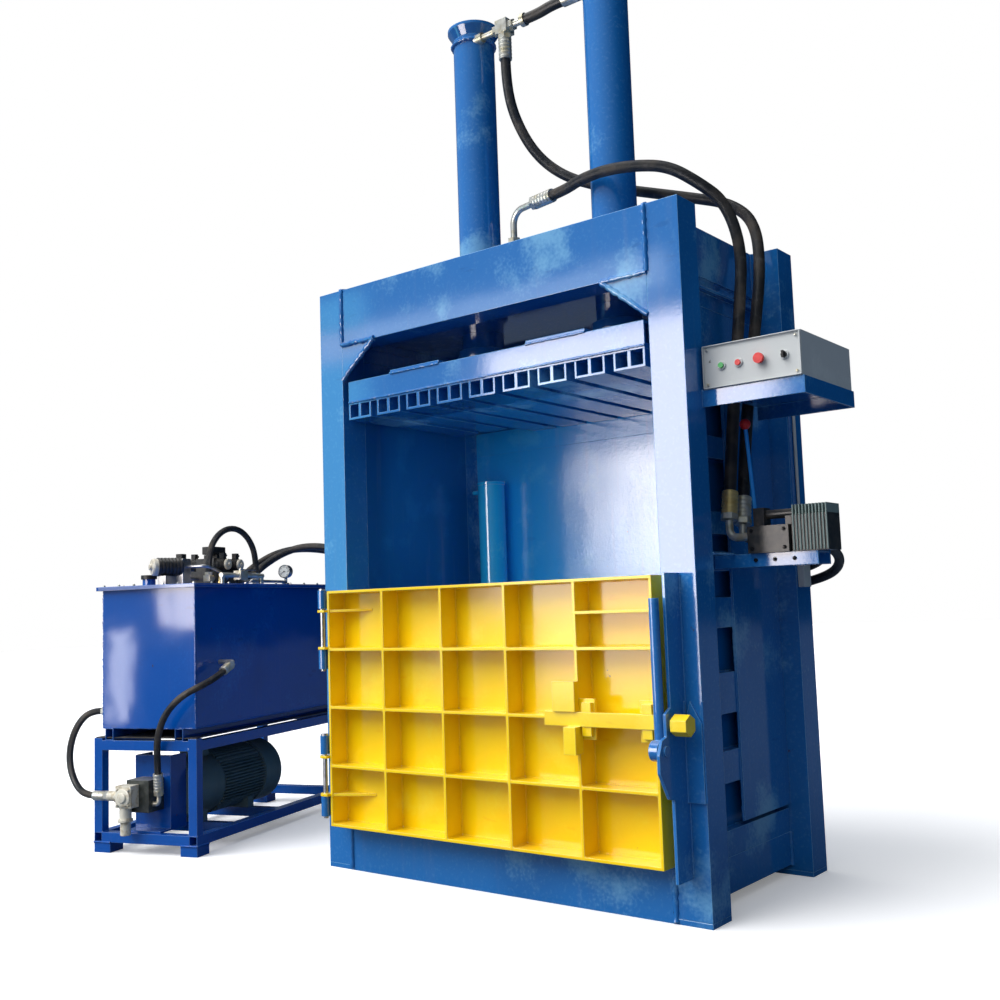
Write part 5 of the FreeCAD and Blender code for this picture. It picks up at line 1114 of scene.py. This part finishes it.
# %% Control box details
panel_edge = [press_box((x, -0.4075, 2.0755), (0.0020, 0.0035, 0.082)) for x in (1.014, 1.408)]
panel_edge += [press_box((1.211, -0.4075, z), (0.196, 0.0035, 0.0020)) for z in (1.994, 2.157)]
piece("panel_edge", "panel", cabinet_grey, panel_edge, bevel=0.0008)
screw = [(0, 0.0055), (0.0020, 0.0050), (0.0030, 0.0030), (0.0030, 0.0010)]
piece("panel_screws", "panel", zinc,
      [turned((x, -0.4080, z), -ALONG_Y, screw, 14) for x in (1.030, 1.392) for z in (2.008, 2.142)])
glands = [(0, 0.014), (0.008, 0.014), (0.008, 0.011), (0.022, 0.011), (0.026, 0.008), (0.026, 0.006)]
piece("cable_glands", "root", black_plastic,
      [turned((x, 0.0745, 2.05), ALONG_Y, glands, 16) for x in (1.10, 1.16, 1.22)])
bent_pipe("conduit", [(1.220, 0.098, 2.050), (1.220, 0.160, 2.050), (1.220, 0.250, 2.050),
                      (1.180, 0.330, 2.050), (1.060, 0.425, 2.050), (1.009, 0.430, 2.040),
                      (1.0085, 0.430, 1.960), (1.0085, 0.430, 1.330)], 0.0070, cabinet_grey)
junction = press_box((1.0155, 0.430, 1.280), (0.0155, 0.036, 0.052))
piece("junction_box", "root", cabinet_grey, [junction], bevel=0.003)

# %% Hand valve details
FIN_PITCH = 0.0132
fins = [press_box((1.256 + FIN_PITCH * step, -0.1485, 1.450), (0.0028, 0.0635, 0.087)) for step in range(11)]
piece("coil_fins", "root", motor_paint, fins, bevel=0.0008)
cap_screws = [((x, -0.222, z), -ALONG_Y) for x in (1.088, 1.222) for z in (1.378, 1.448)]
cap_screws += [((x, y, 1.465), UP) for x in (1.165, 1.225) for y in (-0.080, -0.050)]
bolts("valve_screws", "root", black_oxide, 0.0060, cap_screws)

# %% Motor and pump details
BOLT_CIRCLE = 0.152
shield_bolts = []
for step in range(6):
    turn = math.radians(30 + 60 * step)
    across, rise = BOLT_CIRCLE * math.cos(turn), BOLT_CIRCLE * math.sin(turn)
    shield_bolts.append((unit_point(-0.350 + across, 0.2395, 0.280 + rise), UNIT_FRONT))
bolts("motor_bolts", "root", zinc, 0.0055, shield_bolts)
head_bolts = [(unit_point(a, -0.0745, z), UNIT_FRONT) for a in (-0.425, -0.356) for z in (0.255, 0.330)]
bolts("pump_bolts", "root", pump_castings, 0.0062, head_bolts)
flange = [(0, 0.030), (0, 0.045), (0.007, 0.045), (0.009, 0.041), (0.009, 0.026), (0.016, 0.024),
          (0.018, 0.018)]
piece("pump_cover", "root", pump_castings,
      [turned(unit_point(-0.3905, -0.074, 0.2925), UNIT_FRONT, flange)])
eye_profile = [(0, 0.016), (0.008, 0.016), (0.010, 0.008), (0.020, 0.008)]
piece("lifting_eye", "root", steel,
      [turned(unit_point(-0.350, 0.640, 0.450), UP, eye_profile, 18)])

# %% [markdown]
# ## Floor and light
# A plain pale floor, and soft light as in a hall whose wide door is in front of the machine to the
# left. Tall softboxes that only show in reflections give the glossy plates their long pale glare, a
# broad soft sun gives the shading, and a weak lamp inside the chamber stands for the light that its
# walls throw back and forth. The sky is bright towards the door and dark away from it, so the
# machine's right side stays deep blue as a side away from the door does.

# %% Floor
floor_mesh = bpy.data.meshes.new("floor")
reach = 40.0
floor_mesh.from_pydata([(-reach, -reach, 0), (reach, -reach, 0), (reach, reach, 0), (-reach, reach, 0)], [],
                       [(0, 1, 2, 3)])
floor = placed("floor", floor_mesh)
pale, pale_tree, pale_shader = fresh("pale_floor")
looked_at = node(pale_tree, "ShaderNodeLightPath").outputs["Is Camera Ray"]
pale_tree.links.new(blend_colours(pale_tree, looked_at, (0.08, 0.11, 0.16), (0.95, 0.95, 0.96)),
                    pale_shader.inputs["Base Color"])
pale_tree.links.new(maths(pale_tree, "MULTIPLY", looked_at, 0.22), pale_shader.inputs["Emission Strength"])
constants(pale_shader, {"Emission Color": (1, 1, 1, 1), "Roughness": 0.9, "Specular IOR Level": 0.1})
floor_mesh.materials.append(pale)
print("floor", reach * 2, "m across")

# %% Lights


def aimed(name, lamp, place, target):
    """Puts a lamp somewhere, facing a point."""
    made = placed(name, lamp)
    made.location = place
    made.rotation_euler = (Vector(target) - Vector(place)).to_track_quat("-Z", "Y").to_euler()
    return made


def pane(name, wide, high, energy=0.0):
    """A rectangular lamp."""
    lamp = bpy.data.lights.new(name, "AREA")
    lamp.shape = "RECTANGLE"
    lamp.size, lamp.size_y = wide, high
    lamp.energy = energy
    return lamp


def softbox(name, left, right, low, high, radiance, depth=-4.6, colour=(0.95, 0.94, 1.0)):
    """An upright pane of light before the machine that only glossy surfaces see."""
    lamp = pane(name, right - left, high - low)
    lamp.energy = radiance * math.pi * lamp.size * lamp.size_y
    lamp.color = colour
    middle = Vector(((left + right) / 2, depth, (low + high) / 2))
    aimed(name, lamp, middle, middle + Vector((0, 1, 0))).visible_diffuse = False


WARM_DOOR = (1.0, 0.92, 0.88)
softbox("door_light_high", -3.25, -0.55, 1.12, 3.5, 7.2, colour=WARM_DOOR)
softbox("door_light_low", -2.75, -0.55, 0.38, 1.10, 5.5, colour=WARM_DOOR)
softbox("side_light", -3.80, -3.62, 0.30, 1.10, 6.0)
softbox("beam_light", -5.60, -1.30, 3.72, 4.02, 1.9, colour=(0.80, 0.93, 1.0))
softbox("sky_light", -6.4, -4.75, 0.2, 4.4, 1.5, colour=(0.20, 0.80, 1.0))
sun = bpy.data.lights.new("broad_sun", "SUN")
sun.energy = 2.9
sun.angle = math.radians(50)
aimed("broad_sun", sun, (-4.5, -6.5, 8.0), (0, 0, 0)).visible_glossy = False
aimed("overhead", pane("overhead", 6.0, 5.0, 150), (-2.0, -1.0, 8.5), (-0.5, 0, 1.0))
inside = aimed("chamber_fill", pane("chamber_fill", 1.4, 0.8, 1.6), (0.0, -0.30, 1.75), (0.0, 0.5, 1.70))
inside.visible_glossy = inside.visible_camera = False

# %% Sky
world = bpy.data.worlds.new("pale_hall")
world.use_nodes = True
bpy.context.scene.world = world
sky = world.node_tree
sky_rays = node(sky, "ShaderNodeLightPath")
towards = node(sky, "ShaderNodeVectorMath", operation="DOT_PRODUCT")
sky.links.new(node(sky, "ShaderNodeTexCoord").outputs["Generated"], towards.inputs[0])
towards.inputs[1].default_value = (-0.62, -0.60, 0.50)
facing_door = steps(sky, towards.outputs["Value"], -0.42, 0.95)


def sky_light(dark, bright, strength):
    """Sky that goes from a dark colour away from the door to a bright one towards it."""
    made = node(sky, "ShaderNodeBackground", {"Strength": strength})
    sky.links.new(blend_colours(sky, facing_door, dark, bright), made.inputs["Color"])
    return made.outputs[0]


def sky_choice(mask, first, second):
    """Shows one sky to some rays and another to the rest."""
    made = node(sky, "ShaderNodeMixShader")
    for socket, given in zip(made.inputs, (mask, first, second)):
        sky.links.new(given, socket)
    return made.outputs[0]


lit_sky = sky_light((0.03, 0.08, 0.14), (1.0, 1.0, 1.0), 1.0)
mirrored_sky = sky_light((0.0, 0.025, 0.06), (0.74, 0.87, 0.98), 0.36)
plain_sky = sky_light((1, 1, 1), (1, 1, 1), 1.0)
seen_by_plates = sky_choice(sky_rays.outputs["Is Glossy Ray"], lit_sky, mirrored_sky)
sky.links.new(sky_choice(sky_rays.outputs["Is Camera Ray"], seen_by_plates, plain_sky),
              sky.nodes["World Output"].inputs[0])
bpy.context.scene.view_settings.view_transform = "Standard"
print("sky has", len(sky.nodes), "nodes")
